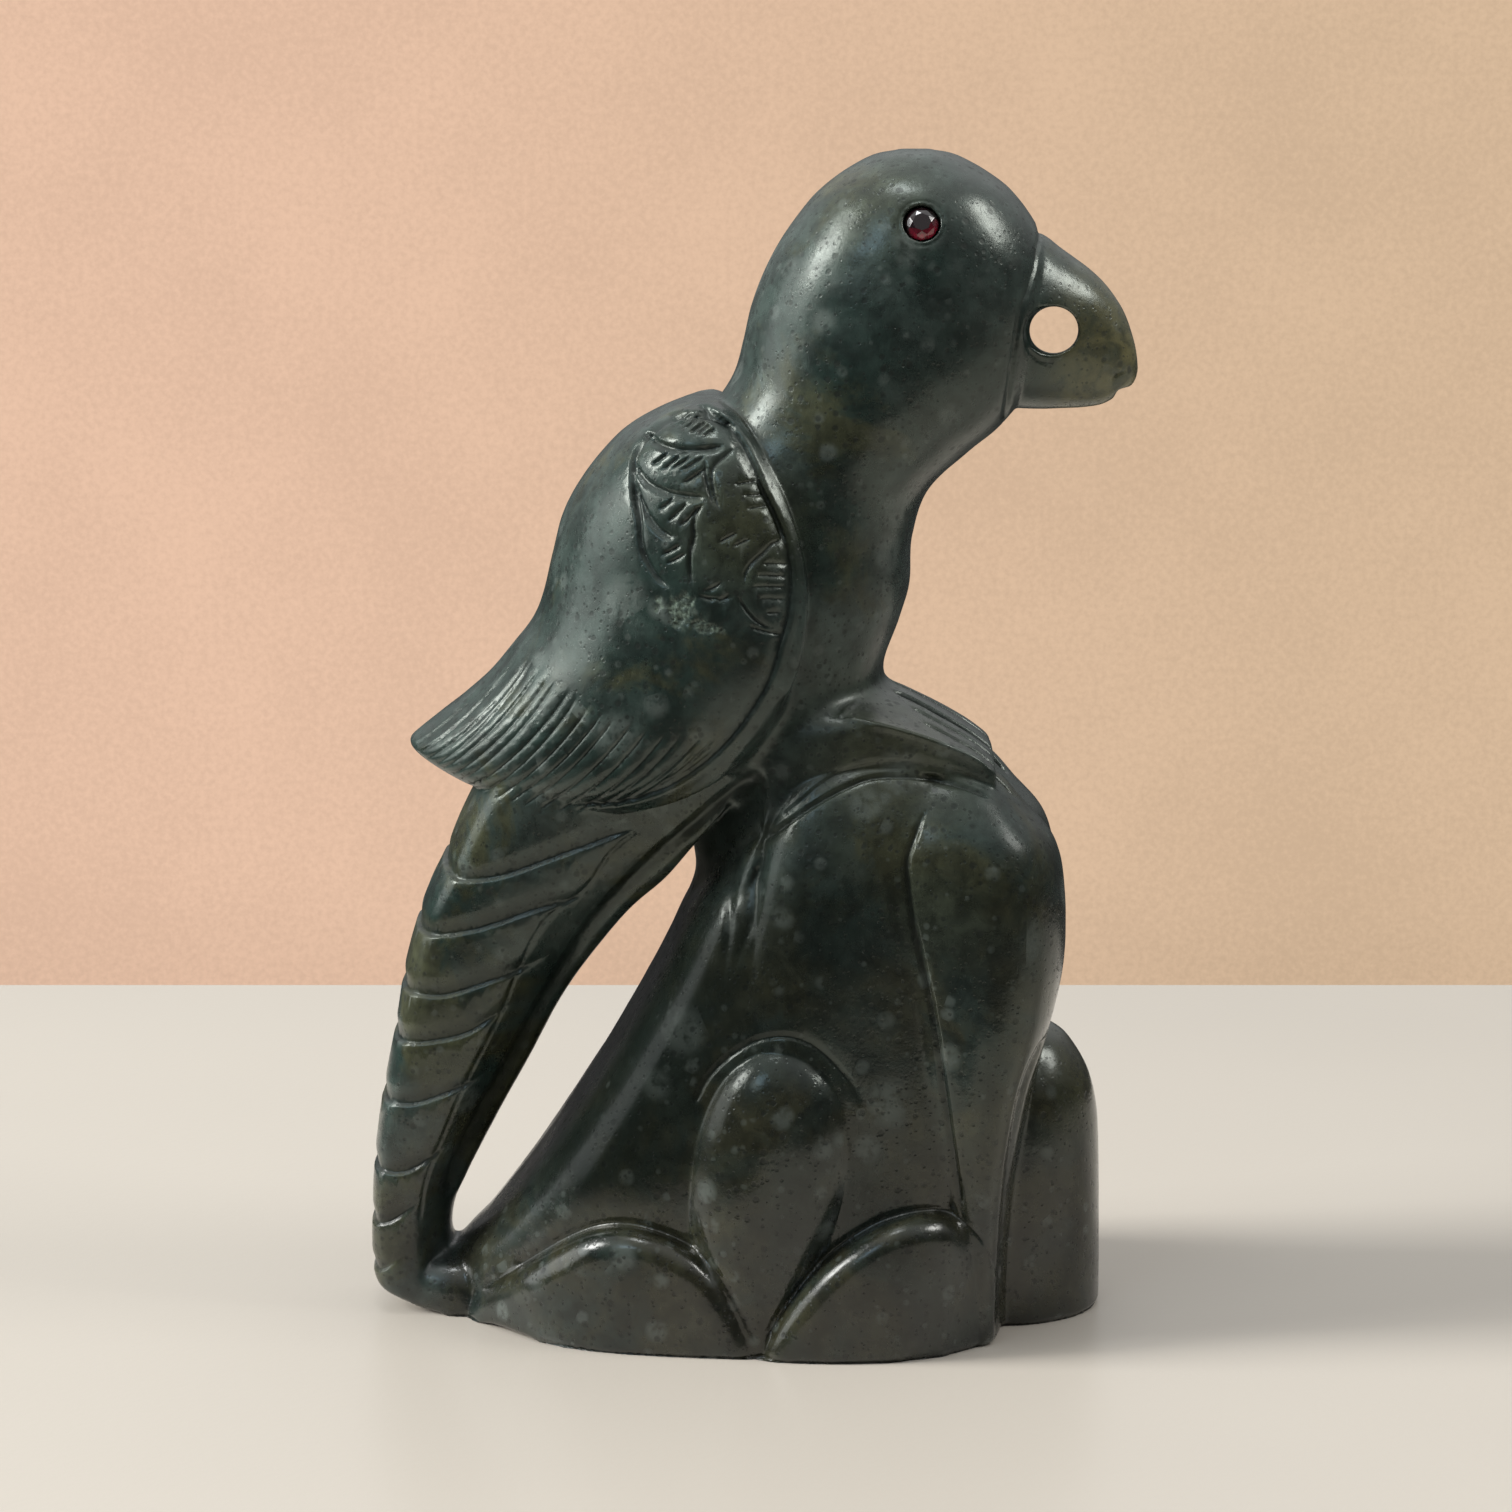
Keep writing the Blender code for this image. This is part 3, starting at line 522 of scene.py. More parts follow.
def new_mesh(name, forms):
    """One mesh that holds several (points, faces) side by side."""
    mesh = bpy.data.meshes.new(name)
    points, faces, start = [], [], 0
    for verts, polygons in forms:
        points.append(verts)
        faces.extend([[start + corner for corner in face] for face in polygons])
        start += len(verts)
    mesh.from_pydata(np.concatenate(points).tolist(), [], faces)
    mesh.validate()
    return mesh


def baked(obj, name):
    """A plain mesh of the object as its modifiers leave it."""
    graph = bpy.context.evaluated_depsgraph_get()
    mesh = bpy.data.meshes.new_from_object(obj.evaluated_get(graph), preserve_all_data_layers=True, depsgraph=graph)
    mesh.name = name
    return mesh


def drop(*objects):
    for obj in objects:
        bpy.data.objects.remove(obj)


def mesh_points(mesh):
    values = np.empty(len(mesh.vertices) * 3, np.float32)
    mesh.vertices.foreach_get("co", values)
    return values.reshape(-1, 3)


def scaled(place):
    """A place in units, as metres."""
    return tuple(value * UNIT for value in place)


class Value:
    """A number, a vector or anything else that a node gives. Plain arithmetic with it adds the nodes for the sum."""

    def __init__(self, made, socket):
        self.made, self.socket, self.is_vector = made, socket, socket.type == "VECTOR"

    def __add__(self, other):
        return self.made.maths("ADD", self, other)

    def __sub__(self, other):
        return self.made.maths("SUBTRACT", self, other)

    def __rsub__(self, other):
        return self.made.maths("SUBTRACT", other, self)

    def __mul__(self, other):
        return self.made.maths("MULTIPLY", self, other)

    def __truediv__(self, other):
        return self.made.maths("DIVIDE", self, other)

    def __rtruediv__(self, other):
        return self.made.maths("DIVIDE", other, self)

    def at_least(self, other):
        return self.made.maths("MAXIMUM", self, other)

    def times_plus(self, factor, more):
        return self.made.maths("MULTIPLY_ADD", self, factor, more)

    def dot(self, other):
        return self.made.maths("DOT_PRODUCT", self, other)

    def clamped(self):
        """The same sum, kept between 0 and 1."""
        self.socket.node.use_clamp = True
        return self


class Outputs:
    """What a node gives, by order or name."""

    def __init__(self, made, node):
        self.made, self.node = made, node

    def __getitem__(self, key):
        return Value(self.made, self.node.outputs[key])


class Tree:
    """A node tree in the making."""

    def __init__(self, tree):
        self.tree = tree

    def feed(self, socket, value):
        """Links a value to a node's socket, or sets the socket to it."""
        if isinstance(value, Value):
            self.tree.links.new(value.socket, socket)
        else:
            socket.default_value = (*value, 1.0) if socket.type == "RGBA" else value

    def node(self, kind, inputs=None, **settings):
        """Adds a node, feeds its inputs by order or name, and returns what it gives."""
        made = self.tree.nodes.new(kind)
        for key, value in settings.items():
            setattr(made, key, value)
        for key, value in (inputs or {}).items():
            self.feed(made.inputs[key], value)
        return Outputs(self, made)

    def maths(self, operation, *values):
        """A sum of numbers, or of vectors if there is one among the values."""
        vectors = [isinstance(value, tuple) or getattr(value, "is_vector", False) for value in values]
        if not any(vectors):
            return self.node("ShaderNodeMath", dict(enumerate(values)), operation=operation)[0]
        if operation == "MULTIPLY" and not all(vectors):
            return self.node("ShaderNodeVectorMath", {0: values[0], "Scale": values[1]}, operation="SCALE")[0]
        gives = "Value" if operation in ("DOT_PRODUCT", "LENGTH", "DISTANCE") else "Vector"
        return self.node("ShaderNodeVectorMath", dict(enumerate(values)), operation=operation)[gives]

    def smooth(self, value, low, high, to_low=0.0, to_high=1.0):
        """A smooth step of value from low to high."""
        return self.node("ShaderNodeMapRange", {0: value, 1: low, 2: high, 3: to_low, 4: to_high},
                         interpolation_type="SMOOTHSTEP")[0]

    def mix(self, factor, first, second):
        return self.node("ShaderNodeMix", {0: factor, 2: first, 3: second}, data_type="FLOAT")[0]

    def blend(self, factor, first, second, mode="MIX"):
        """Mixes two colours."""
        return self.node("ShaderNodeMix", {0: factor, 6: first, 7: second}, data_type="RGBA", blend_type=mode)[2]

    def grey(self, value):
        return self.node("ShaderNodeCombineColor", {0: value, 1: value, 2: value})[0]

    def noise(self, vector, size, detail=3.0, roughness=0.5, distortion=0.0, seed=0.0):
        """Noise whose features are about size metres across."""
        return self.node("ShaderNodeTexNoise", {
            "Vector": vector, "W": seed, "Scale": 1 / size, "Detail": detail, "Roughness": roughness,
            "Distortion": distortion}, noise_dimensions="4D")[0]

    def spots(self, vector, size, share, seed):
        """Round spots of uneven size: 1 in a spot, 0 outside. Share is how many cells hold one."""
        cell = self.node("ShaderNodeTexVoronoi", {"Vector": vector + (seed, seed * 1.7, seed * 0.6),
                                                  "Scale": 1 / size, "Randomness": 1.0})
        chance, width, _ = self.node("ShaderNodeSeparateColor", {0: cell["Color"]})
        disc = self.smooth(cell["Distance"] / width.times_plus(0.28, 0.12), 0.6, 1.4, 1.0, 0.0)
        return disc * self.maths("LESS_THAN", chance, share)

    def near(self, position, centre, reach):
        """1 at a place on the stone, falling smoothly to 0 at reach, both in units."""
        return self.smooth(self.maths("DISTANCE", position, scaled(centre)), 0.0, reach * UNIT, 1.0, 0.0)

    def bump(self, shader, strength, distance, height):
        self.feed(shader["Normal"], self.node("ShaderNodeBump", {
            "Strength": strength, "Distance": distance, "Height": height})[0])

    def position(self):
        return self.node("GeometryNodeInputPosition")[0]

    def normal(self):
        return self.node("GeometryNodeInputNormal")[0]

    def shape_of(self, obj):
        return self.node("GeometryNodeObjectInfo", {"Object": obj})["Geometry"]

    def named(self, name, kind="FLOAT"):
        return self.node("GeometryNodeInputNamedAttribute", {"Name": name}, data_type=kind)[0]

    def store(self, geometry, name, value, **chosen):
        """Keeps a value under a name on the points."""
        kind = "FLOAT_VECTOR" if value.is_vector else "FLOAT"
        return self.node("GeometryNodeStoreNamedAttribute", {"Geometry": geometry, "Name": name, "Value": value,
                                                             **chosen}, data_type=kind, domain="POINT")[0]

    def move(self, geometry, **inputs):
        return self.node("GeometryNodeSetPosition", {"Geometry": geometry, **inputs})[0]

    def uneven(self, low, high, ident, seed):
        return self.node("FunctionNodeRandomValue", {"Min": low, "Max": high, "ID": ident, "Seed": seed},
                         data_type="FLOAT")["Value"]

    def close(self, geometry, material):
        """Ends a tree in Realize Instances and Set Material."""
        real = self.node("GeometryNodeRealizeInstances", {0: geometry})[0]
        self.node("NodeGroupOutput", {0: self.node("GeometryNodeSetMaterial", {
            "Geometry": real, "Material": material})[0]})
        return self.tree


def geometry_tree(name, **inputs):
    """A Geometry Nodes tree's builder and its inputs' values. _ stands for a space, and None for an object."""
    tree = bpy.data.node_groups.new(name, "GeometryNodeTree")
    kinds = {float: "Float", int: "Int", tuple: "Vector", type(None): "Object"}
    sockets = [(label.replace("_", " "), kinds[type(default)], default) for label, default in inputs.items()]
    for label, kind, default in [("Geometry", "Geometry", None), *sockets, ("Material", "Material", None)]:
        socket = tree.interface.new_socket(label, in_out="INPUT", socket_type="NodeSocket" + kind)
        if default is not None:
            socket.default_value = default
    tree.interface.new_socket("Geometry", in_out="OUTPUT", socket_type="NodeSocketGeometry")
    made = Tree(tree)
    return made, made.node("NodeGroupInput")


def apply_tree(obj, tree, material, **values):
    """Adds a tree to an object. A value's name is the input's name with _ for a space."""
    modifier = obj.modifiers.new(tree.name, "NODES")
    modifier.node_group = tree
    sockets = {item.name: item.identifier for item in tree.interface.items_tree if item.in_out == "INPUT"}
    for key, value in {"Material": material, **values}.items():
        modifier[sockets[key.replace("_", " ")]] = value


def curve_of(name, lines, on_plan=False):
    """A hidden curve object with one smooth spline through each line's stations, flat on the side view or the plan."""
    data = bpy.data.curves.new(name, "CURVE")
    data.dimensions = "3D"
    for stations in lines:
        run = smooth_rows(stations, 8) * UNIT
        spline = data.splines.new("POLY")
        spline.points.add(len(run) - 1)
        flat = np.zeros((len(run), 4))
        flat[:, 0], flat[:, 1 if on_plan else 2], flat[:, 3] = run[:, 0], run[:, 1], 1
        spline.points.foreach_set("co", flat.ravel())
    obj = link(name, data)
    obj.hide_render = True
    return obj


# ---------------------------------------------------------------------------------------------------------------------
# Geometry Nodes: lines, rows of strokes, the cut that they make, and the rest of the stone's skin


def lines_tree():
    """Turns drawn curves into fine edges that know which way they run and how hard they are cut."""
    made, given = geometry_tree("Drawn lines", Spacing=0.0004, Fade_In=0.002, Fade_Out=0.002)
    even = made.node("GeometryNodeResampleCurve", {"Curve": given["Geometry"], "Length": given["Spacing"]},
                     mode="LENGTH")[0]
    run = made.node("GeometryNodeSplineParameter")["Length"]
    left = made.node("GeometryNodeSplineLength")["Length"] - run
    strength = made.smooth((run / given["Fade In"]).clamped() * (left / given["Fade Out"]).clamped(), 0.0, 1.0)
    kept = made.store(even, "strength", strength)
    kept = made.store(kept, "along", made.node("GeometryNodeInputTangent")[0])
    return made.close(made.node("GeometryNodeCurveToMesh", {"Curve": kept})[0], given["Material"])


def rows_tree():
    """A row of strokes from one rail to another, each slightly bowed and uneven, as a hand would space them."""
    made, given = geometry_tree("Rows of strokes", First_Rail=None, Second_Rail=None, Count=10, Points=40,
                                Crowding=1.0, End_Crowding=1.0, Bow=0.0, Unevenness=0.1, Fade_In=0.3, Fade_Out=0.3,
                                Seed=0)
    count, points = given["Count"], given["Points"]
    grid = made.node("GeometryNodeMeshGrid", {"Vertices X": count, "Vertices Y": points})[0]
    index = made.node("GeometryNodeInputIndex")[0]
    row = made.maths("FLOOR", (index + 0.5) / points)
    way = (index - row * points) / (points - 1.0)
    place = row / (count - 1.0).at_least(1.0)
    ends = []
    for rail, crowding, offset in (("First Rail", "Crowding", 0.0), ("Second Rail", "End Crowding", 31.0)):
        slip = made.uneven(-1.0, 1.0, row, given["Seed"] + offset) * given["Unevenness"] / count
        factor = (made.maths("POWER", place, given[crowding]) + slip).clamped()
        ends.append(made.node("GeometryNodeSampleCurve", {"Curves": made.shape_of(given[rail]), "Factor": factor},
                              mode="FACTOR", use_all_curves=True)["Position"])
    across = ends[1] - ends[0]
    swell = way * (1.0 - way) * (given["Bow"] * 4.0)
    sideways = made.maths("CROSS_PRODUCT", across, (0.0, 1.0, 0.0))
    placed = made.move(grid, Position=ends[0] + across * way + sideways * swell)
    start = (way / given["Fade In"].at_least(0.001)).clamped()
    end = ((1.0 - way) / given["Fade Out"].at_least(0.001)).clamped()
    strength = made.smooth(start * end, 0.0, 1.0) * made.uneven(0.8, 1.0, row, given["Seed"])
    kept = made.store(placed, "strength", strength)
    kept = made.store(kept, "along", made.maths("NORMALIZE", across))
    edge = made.node("GeometryNodeInputMeshEdgeVertices")
    rows = [made.maths("FLOOR", (edge[end] + 0.5) / points) for end in range(2)]
    crossing = made.node("FunctionNodeCompare", {"A": rows[0], "B": rows[1], "Epsilon": 0.1}, data_type="FLOAT",
                         operation="NOT_EQUAL")[0]
    strokes = made.node("GeometryNodeDeleteGeometry", {"Geometry": kept, "Selection": crossing}, domain="EDGE",
                        mode="EDGE_FACE")[0]
    return made.close(strokes, given["Material"])


def cut_tree():
    """Cuts a line's groove into the stone. Its two sides may differ, which makes a ledge."""
    made, given = geometry_tree("Cut along lines", Lines=None, Depth=0.0004, Left_Width=0.0005, Right_Width=0.0005,
                                Sharpness=0.3, Look=(0.0, -1.0, 0.0), Nearest=0.0, Farthest=1.0, Facing=0.1,
                                Hand=0.15, Seed=0.0)
    lines, look = made.shape_of(given["Lines"]), given["Look"]
    position, normal = made.position(), made.normal()
    height = position.dot(look)
    flat = position - look * height
    near = made.node("GeometryNodeProximity", {0: lines, 2: flat}, target_element="EDGES")
    index = made.node("GeometryNodeSampleNearest", {"Geometry": lines, "Sample Position": flat}, domain="EDGE")[0]
    along, strength = (made.node("GeometryNodeSampleIndex", {
        "Geometry": lines, "Value": made.named(label, kind), "Index": index}, data_type=kind, domain="EDGE")[0]
        for label, kind in (("along", "FLOAT_VECTOR"), ("strength", "FLOAT")))
    side = made.maths("CROSS_PRODUCT", along, flat - near["Position"]).dot(look)
    width = made.mix(made.maths("GREATER_THAN", side, 0.0), given["Right Width"], given["Left Width"])
    width = width * strength.times_plus(0.5, 0.5)
    rise = (1.0 - near["Distance"] / width).clamped()
    profile = made.mix(given["Sharpness"], made.smooth(rise, 0.0, 1.0), made.maths("POWER", rise, 1.5))
    facing = made.smooth(made.maths("ABSOLUTE", normal.dot(look)), given["Facing"], given["Facing"] + 0.2)
    deep = made.maths("ABSOLUTE", height)
    inside = made.smooth(deep, given["Nearest"], given["Nearest"] + 0.002)
    inside = inside * made.smooth(deep, given["Farthest"], given["Farthest"] + 0.002, 1.0, 0.0)
    wobble = made.noise(position, 0.0025, 1.0, seed=given["Seed"])
    hand = (wobble - 0.5).times_plus(given["Hand"] * 4.0, 1.0)
    depth = given["Depth"] * strength * profile * facing * inside * hand

    # Only the points inside the lines' own box are worked on.
    box = made.node("GeometryNodeBoundBox", {"Geometry": lines})
    middle, half = (box["Min"] + box["Max"]) * 0.5, (box["Max"] - box["Min"]) * 0.5
    beyond = (made.maths("ABSOLUTE", flat - middle) - half).at_least((0.0, 0.0, 0.0))
    chosen = made.maths("LESS_THAN", made.maths("LENGTH", beyond), given["Left Width"].at_least(given["Right Width"]))
    kept = made.store(given["Geometry"], "cut_now", depth, Selection=chosen)
    now = made.named("cut_now")
    kept = made.store(kept, "cut", made.named("cut") + now.at_least(0.0), Selection=chosen)
    return made.close(made.move(kept, Selection=chosen, Offset=normal * (now * -1.0)), given["Material"])


def melt_tree():
    """Lets forms flow into each other along a seam, as rubbing with a stone would."""
    made, given = geometry_tree("Melt along seams", Seams=None, Width=0.006, Melting=160)
    flat = made.position() * (1.0, 0.0, 1.0)
    away = made.node("GeometryNodeProximity", {0: made.shape_of(given["Seams"]), 2: flat},
                     target_element="EDGES")["Distance"]
    melt = made.smooth(away, 0.0, given["Width"], 1.0, 0.0)
    blur = made.node("GeometryNodeBlurAttribute", {"Iterations": given["Melting"], "Weight": melt},
                     data_type="FLOAT_VECTOR").node
    made.feed(next(socket for socket in blur.inputs if socket.enabled and socket.name == "Value"), made.position())
    melted = Value(made, next(socket for socket in blur.outputs if socket.enabled))
    return made.close(made.move(given["Geometry"], Selection=made.maths("GREATER_THAN", melt, 0.0), Position=melted),
                      given["Material"])


def one_stone_tree():
    """Keeps the largest island, so that nothing hides inside the stone, and gives its skin slow uneven waves."""
    made, given = geometry_tree("One stone", Foot_Easing=0.0012, Wave=0.0001, Wave_Length=0.012, Seed=0.0)
    island = made.node("GeometryNodeInputMeshIsland")["Island Index"]
    count = made.node("GeometryNodeAccumulateField", {0: 1.0, "Group ID": island}, data_type="FLOAT",
                      domain="POINT")["Total"]
    most = made.node("GeometryNodeAttributeStatistic", {"Geometry": given["Geometry"], 2: count}, data_type="FLOAT",
                     domain="POINT")["Max"]
    one = made.node("GeometryNodeDeleteGeometry", {
        "Geometry": given["Geometry"], "Selection": made.maths("LESS_THAN", count, most - 1.0)}, domain="POINT",
        mode="ALL")[0]
    position, normal = made.position(), made.normal()
    low = (1.0 - made.node("ShaderNodeSeparateXYZ", {0: position})["Z"] / given["Foot Easing"]).clamped()
    tuck = low * low * (given["Foot Easing"] * -0.7)
    eased = made.move(one, Offset=normal * (1.0, 1.0, 0.0) * tuck)
    lift = (made.noise(position, given["Wave Length"], 2.0, 0.45, seed=given["Seed"]) - 0.5) * (given["Wave"] * 3.0)
    return made.close(made.move(eased, Offset=normal * lift), given["Material"])


def chip_tree():
    """A rough, unpolished patch where the surface has flaked away."""
    made, given = geometry_tree("Flaked patch", Centre=(0.0, 0.0, 0.0), Size=(0.006, 0.006, 0.003), Tilt=0.0,
                                Depth=0.0003, Grain=0.0009, Seed=0.0)
    position, normal = made.position(), made.normal()
    turned = made.node("ShaderNodeVectorRotate", {"Vector": position - given["Centre"], "Axis": (0.0, 1.0, 0.0),
                                                  "Angle": given["Tilt"]}, rotation_type="AXIS_ANGLE")[0]
    reach = made.maths("LENGTH", turned / given["Size"])
    ragged = made.noise(position, 1 / 420, seed=given["Seed"])
    mask = made.smooth(reach + ragged.times_plus(2.6, -1.3), 0.7, 1.0, 1.0, 0.0)
    fine = made.node("ShaderNodeTexNoise", {"Vector": position, "Scale": 1.0 / given["Grain"], "Detail": 3.0,
                                            "Roughness": 0.65})[0]
    sink = mask * fine.times_plus(3.2, -1.1) * (given["Depth"] * -1.0)
    moved = made.move(given["Geometry"], Offset=normal * sink)
    return made.close(made.store(moved, "flaked", made.named("flaked").at_least(mask)), given["Material"])


def polish_tree():
    """Reads the finest skin's slope and cuts for each point of the lighter mesh."""
    made, given = geometry_tree("Carry the polish", Finest=None)
    finest, position = made.shape_of(given["Finest"]), made.position()
    kept = given["Geometry"]
    for label, value, kind in (("slope", made.normal(), "FLOAT_VECTOR"), ("cut", made.named("cut"), "FLOAT"),
                               ("flaked", made.named("flaked"), "FLOAT")):
        kept = made.store(kept, label, made.node("GeometryNodeSampleNearestSurface", {
            "Mesh": finest, "Value": value, "Sample Position": position}, data_type=kind)[0])
    return made.close(kept, given["Material"])


# ---------------------------------------------------------------------------------------------------------------------
# Materials. Places on the stone are in units, each with how far it reaches and how strong it is.

BROWN_PLACES = [((0, -26, 140), 17, 0.8), ((20, -18, 194), 17, 0.6), ((24, -20, 100), 22, 0.85),
                ((62, -6, 46), 24, 1.0)]
# Painted shade on the polish: at these places the reflections are dimmed almost to nothing, where the lights'
# highlights are not wanted.
REFLECTION_SHADE_PLACES = [((44, -18, 84), 30, 0.95), ((12, -16, 120), 24, 0.65), ((22, -38, 24), 15, 0.55),
               ((-18, -34, 20), 13, 0.45), ((57, -12, 46), 14, 0.6)]
# Painted glow where the beak tip is thin: its middle and reach, in units.
GLOW_PLACE = ((67, -4, 163), 31)
# The pale clouds: size in metres, how many, seed, strength.
CLOUDS = [(0.0115, 0.20, 0.31, 0.40), (0.0068, 0.22, 0.77, 0.40), (0.0036, 0.18, 1.9, 0.30), (0.0016, 0.16, 2.9, 0.20)]
# The line between the rock and the bird runs up the gap. This way points from it into the rock.
INTO_ROCK = (0.862, 0.0, -0.506)
# GAP_SHADE_COLOUR is painted shade: the near-black band beside the gap.
GAP_SHADE_COLOUR, PEPPER_COLOUR = (0.0030, 0.0045, 0.0035), (0.002, 0.003, 0.0025)
# CUT_SHADE_COLOUR and DEEP_CUT_SHADE_COLOUR are painted shade in the grooves; FLAKE_COLOUR is the flaked stone's own.
CUT_SHADE_COLOUR, DEEP_CUT_SHADE_COLOUR, FLAKE_COLOUR = (0.004, 0.006, 0.005), (0.0012, 0.0016, 0.0013), (0.100, 0.135, 0.105)
# REFLECTION_SHADE_GLINT is painted shade: it dims the reflections nearly to black.
ROCK_GLINT, BIRD_GLINT, REFLECTION_SHADE_GLINT = (0.98, 0.99, 0.98), (0.90, 1.0, 0.91), (0.05, 0.06, 0.055)


def new_material(name):
    material = bpy.data.materials.new(name)
    material.use_nodes = True
    made = Tree(material.node_tree)
    return material, made, material.node_tree.nodes["Principled BSDF"].inputs, made.node("ShaderNodeTexCoord")["Object"]


def set_shader(shader, **constants):
    for key, value in constants.items():
        shader[key.replace("_", " ")].default_value = value


def jade_material(finish):
    material, made, shader, position = new_material("polished_jade")
    noise, smooth = made.noise, made.smooth
    along, _, height = made.node("ShaderNodeSeparateXYZ", {0: position})
    past_gap = position.dot(INTO_ROCK)
    # 1 on the rock and 0 on the bird, then 1 on the painted shade beside the gap: a near-black band that stands in for
    # the dark room mirrored there.
    rock = (smooth(past_gap, -51.4 * UNIT, -46.4 * UNIT)
            * smooth(height, 60 * UNIT, 104 * UNIT, 1.0, 0.0))
    wavy_height = height + noise(position, 0.012, 3, 0.6, 0.4, 21.0) * (14 * UNIT)
    gap_shade = rock * (smooth(past_gap, -38 * UNIT, -8 * UNIT, 1.0, 0.0) * smooth(wavy_height, 26 * UNIT, 38 * UNIT))
    cut, flaked = (made.node("ShaderNodeAttribute", attribute_name=name)["Fac"] for name in ("cut", "flaked"))

    # The stone's colour: green above and browner below, clouded at several sizes.
    colour = made.blend(smooth(noise(position, 0.028, 5, 0.6, 0.4), 0.38, 0.62), finish.deep, finish.grey)
    low = smooth(height, 30 * UNIT, 110 * UNIT, 0.10, 0.0)
    warm = smooth(noise(position, 0.024, 6, 0.65, 0.8, 3.0) + low, 0.52, 0.64)
    colour = made.blend(warm * 0.8, colour, finish.olive)
    smoky = made.blend(smooth(noise(position, 0.017, 5, 0.6, 0.6, 9.0), 0.42, 0.6), finish.smoke, finish.brown)
    colour = made.blend(rock * 0.85, colour, smoky)
    for centre, reach, amount in BROWN_PLACES:
        colour = made.blend(made.near(position, centre, reach) * amount, colour, finish.olive)
    mottle = smooth(noise(position, 0.0042, 4, 0.65, 0.4, 5.0), 0.3, 0.72, 0.55, 1.5)
    colour = made.blend(1.0, colour, made.grey(mottle), "MULTIPLY")
    # Painted shade: the band beside the gap is darkened nearly to black.
    colour = made.blend(gap_shade * 0.80, colour, GAP_SHADE_COLOUR)
    # Painted glow: the thin beak tip is tinted honey, standing in for light that shines through the stone.
    thin = made.near(position, *GLOW_PLACE) * smooth(noise(position, 0.0042, 4, 0.65, 0.8, 2.0), 0.34, 0.62, 0.30, 1.0)
    colour = made.blend(thin * smooth(along, 46 * UNIT, 55 * UNIT), colour, finish.honey_glow)
    for size, share, seed, amount in CLOUDS:
        cloud = made.spots(position, size, share, seed) * amount
        cloud = cloud * smooth(noise(position, 0.002, 2, 0.6, 0.0, seed), 0.25, 0.55) * gap_shade.times_plus(-0.65, 1.0)
        colour = made.blend(cloud, colour, finish.cloud)
    pepper = made.spots(position, 0.0015, 0.28, 2.3).at_least(made.spots(position, 0.0008, 0.30, 3.3))
    # Painted shade in the cuts: grooves darken with their depth, and the deepest, such as the toe slots, go nearly
    # black.
    cut_shade = smooth(cut, 0.0001, 0.0006)
    flake_grain = smooth(noise(position, 0.0007, 2, 0.6, 0.0, 8.0), 0.42, 0.66)
    for amount, over in ((pepper * 0.6, PEPPER_COLOUR), (cut_shade * 0.52, CUT_SHADE_COLOUR),
                         (smooth(cut, 0.0008, 0.0017, 0.0, 0.92), DEEP_CUT_SHADE_COLOUR),
                         (flaked * flake_grain.times_plus(0.75, 0.15), FLAKE_COLOUR)):
        colour = made.blend(amount, colour, over)
    made.feed(shader["Base Color"], colour)

    # The polish: softer in patches, in the cuts and on the flaked spot, and duller where pepper breaks the skin.
    rough = (smooth(noise(position, 0.020, 3, 0.5, 0.0, 11.0), 0.35, 0.7, -0.04, 0.06)
             + smooth(noise(position, 0.0030, 4, 0.7, 0.0, 12.0), 0.3, 0.7, -0.05, 0.05)
             + made.mix(rock, finish.polish, finish.low_polish))
    # Painted shade on the reflections: the gap band, the listed places and the deepest cuts mirror almost nothing, and
    # are a little rougher.
    reflection_shade = gap_shade * 0.92
    for centre, reach, amount in REFLECTION_SHADE_PLACES:
        reflection_shade = reflection_shade.at_least(made.near(position, centre, reach) * amount)
    reflection_shade = reflection_shade.at_least(smooth(cut, 0.0008, 0.0017, 0.0, 0.85))
    edge = gap_shade * smooth(past_gap, -48.5 * UNIT, -44.0 * UNIT, 1.0, 0.0)
    for part, amount in ((cut_shade, 0.08), (flaked, 0.30), (pepper, 0.12), (reflection_shade, 0.12), (edge, 0.25)):
        rough = rough + part * amount
    made.feed(shader["Roughness"], rough)
    glint = made.blend(smooth(height, 12 * UNIT, 60 * UNIT), ROCK_GLINT, BIRD_GLINT)
    made.feed(shader["Specular Tint"], made.blend(reflection_shade, glint, REFLECTION_SHADE_GLINT))
    set_shader(shader, IOR=1.6, Coat_Weight=0.12, Coat_Roughness=0.14)

    scratch = smooth(noise(position * (1.0, 1.0, 0.18), 0.0006, 2, 0.6, 0.0, 13.0), 0.62, 0.72)
    grain = noise(position, 0.0010, 4, 0.65, 0.0, 17.0)
    made.bump(shader, 0.6, finish.scratches, grain + (scratch * -0.4 + pepper * -0.8))
    return material


def garnet_material(eye):
    material, made, shader, position = new_material("red_stone")
    fire = made.node("ShaderNodeAttribute", attribute_name="fire")["Fac"]
    inner = made.smooth(made.noise(position, 0.0012, 2, 0.5, 0.6), 0.3, 0.7, 0.6, 1.3)
    # Painted glow: facets with more of it are red, the rest nearly black.
    made.feed(shader["Base Color"], made.blend((fire * inner).clamped(), (0.006, 0.002, 0.003), eye.colour))
    made.feed(shader["Roughness"], made.smooth(fire, 0.0, 1.0, 0.10, 0.05))
    set_shader(shader, IOR=1.75, Coat_Weight=0.4, Coat_Roughness=0.03)
    return material


def floor_material(studio):
    material, made, shader, position = new_material("pale_floor")
    cloudy = made.smooth(made.noise(position, 0.25, 3), 0.3, 0.7)
    base = Vector(studio.floor)
    made.feed(shader["Base Color"], made.blend(cloudy, base * 0.97, base * 1.02))
    set_shader(shader, Roughness=0.32, Specular_IOR_Level=0.35)
    made.bump(shader, 0.15, 0.0002, made.noise(position, 0.0015, 2))
    return material


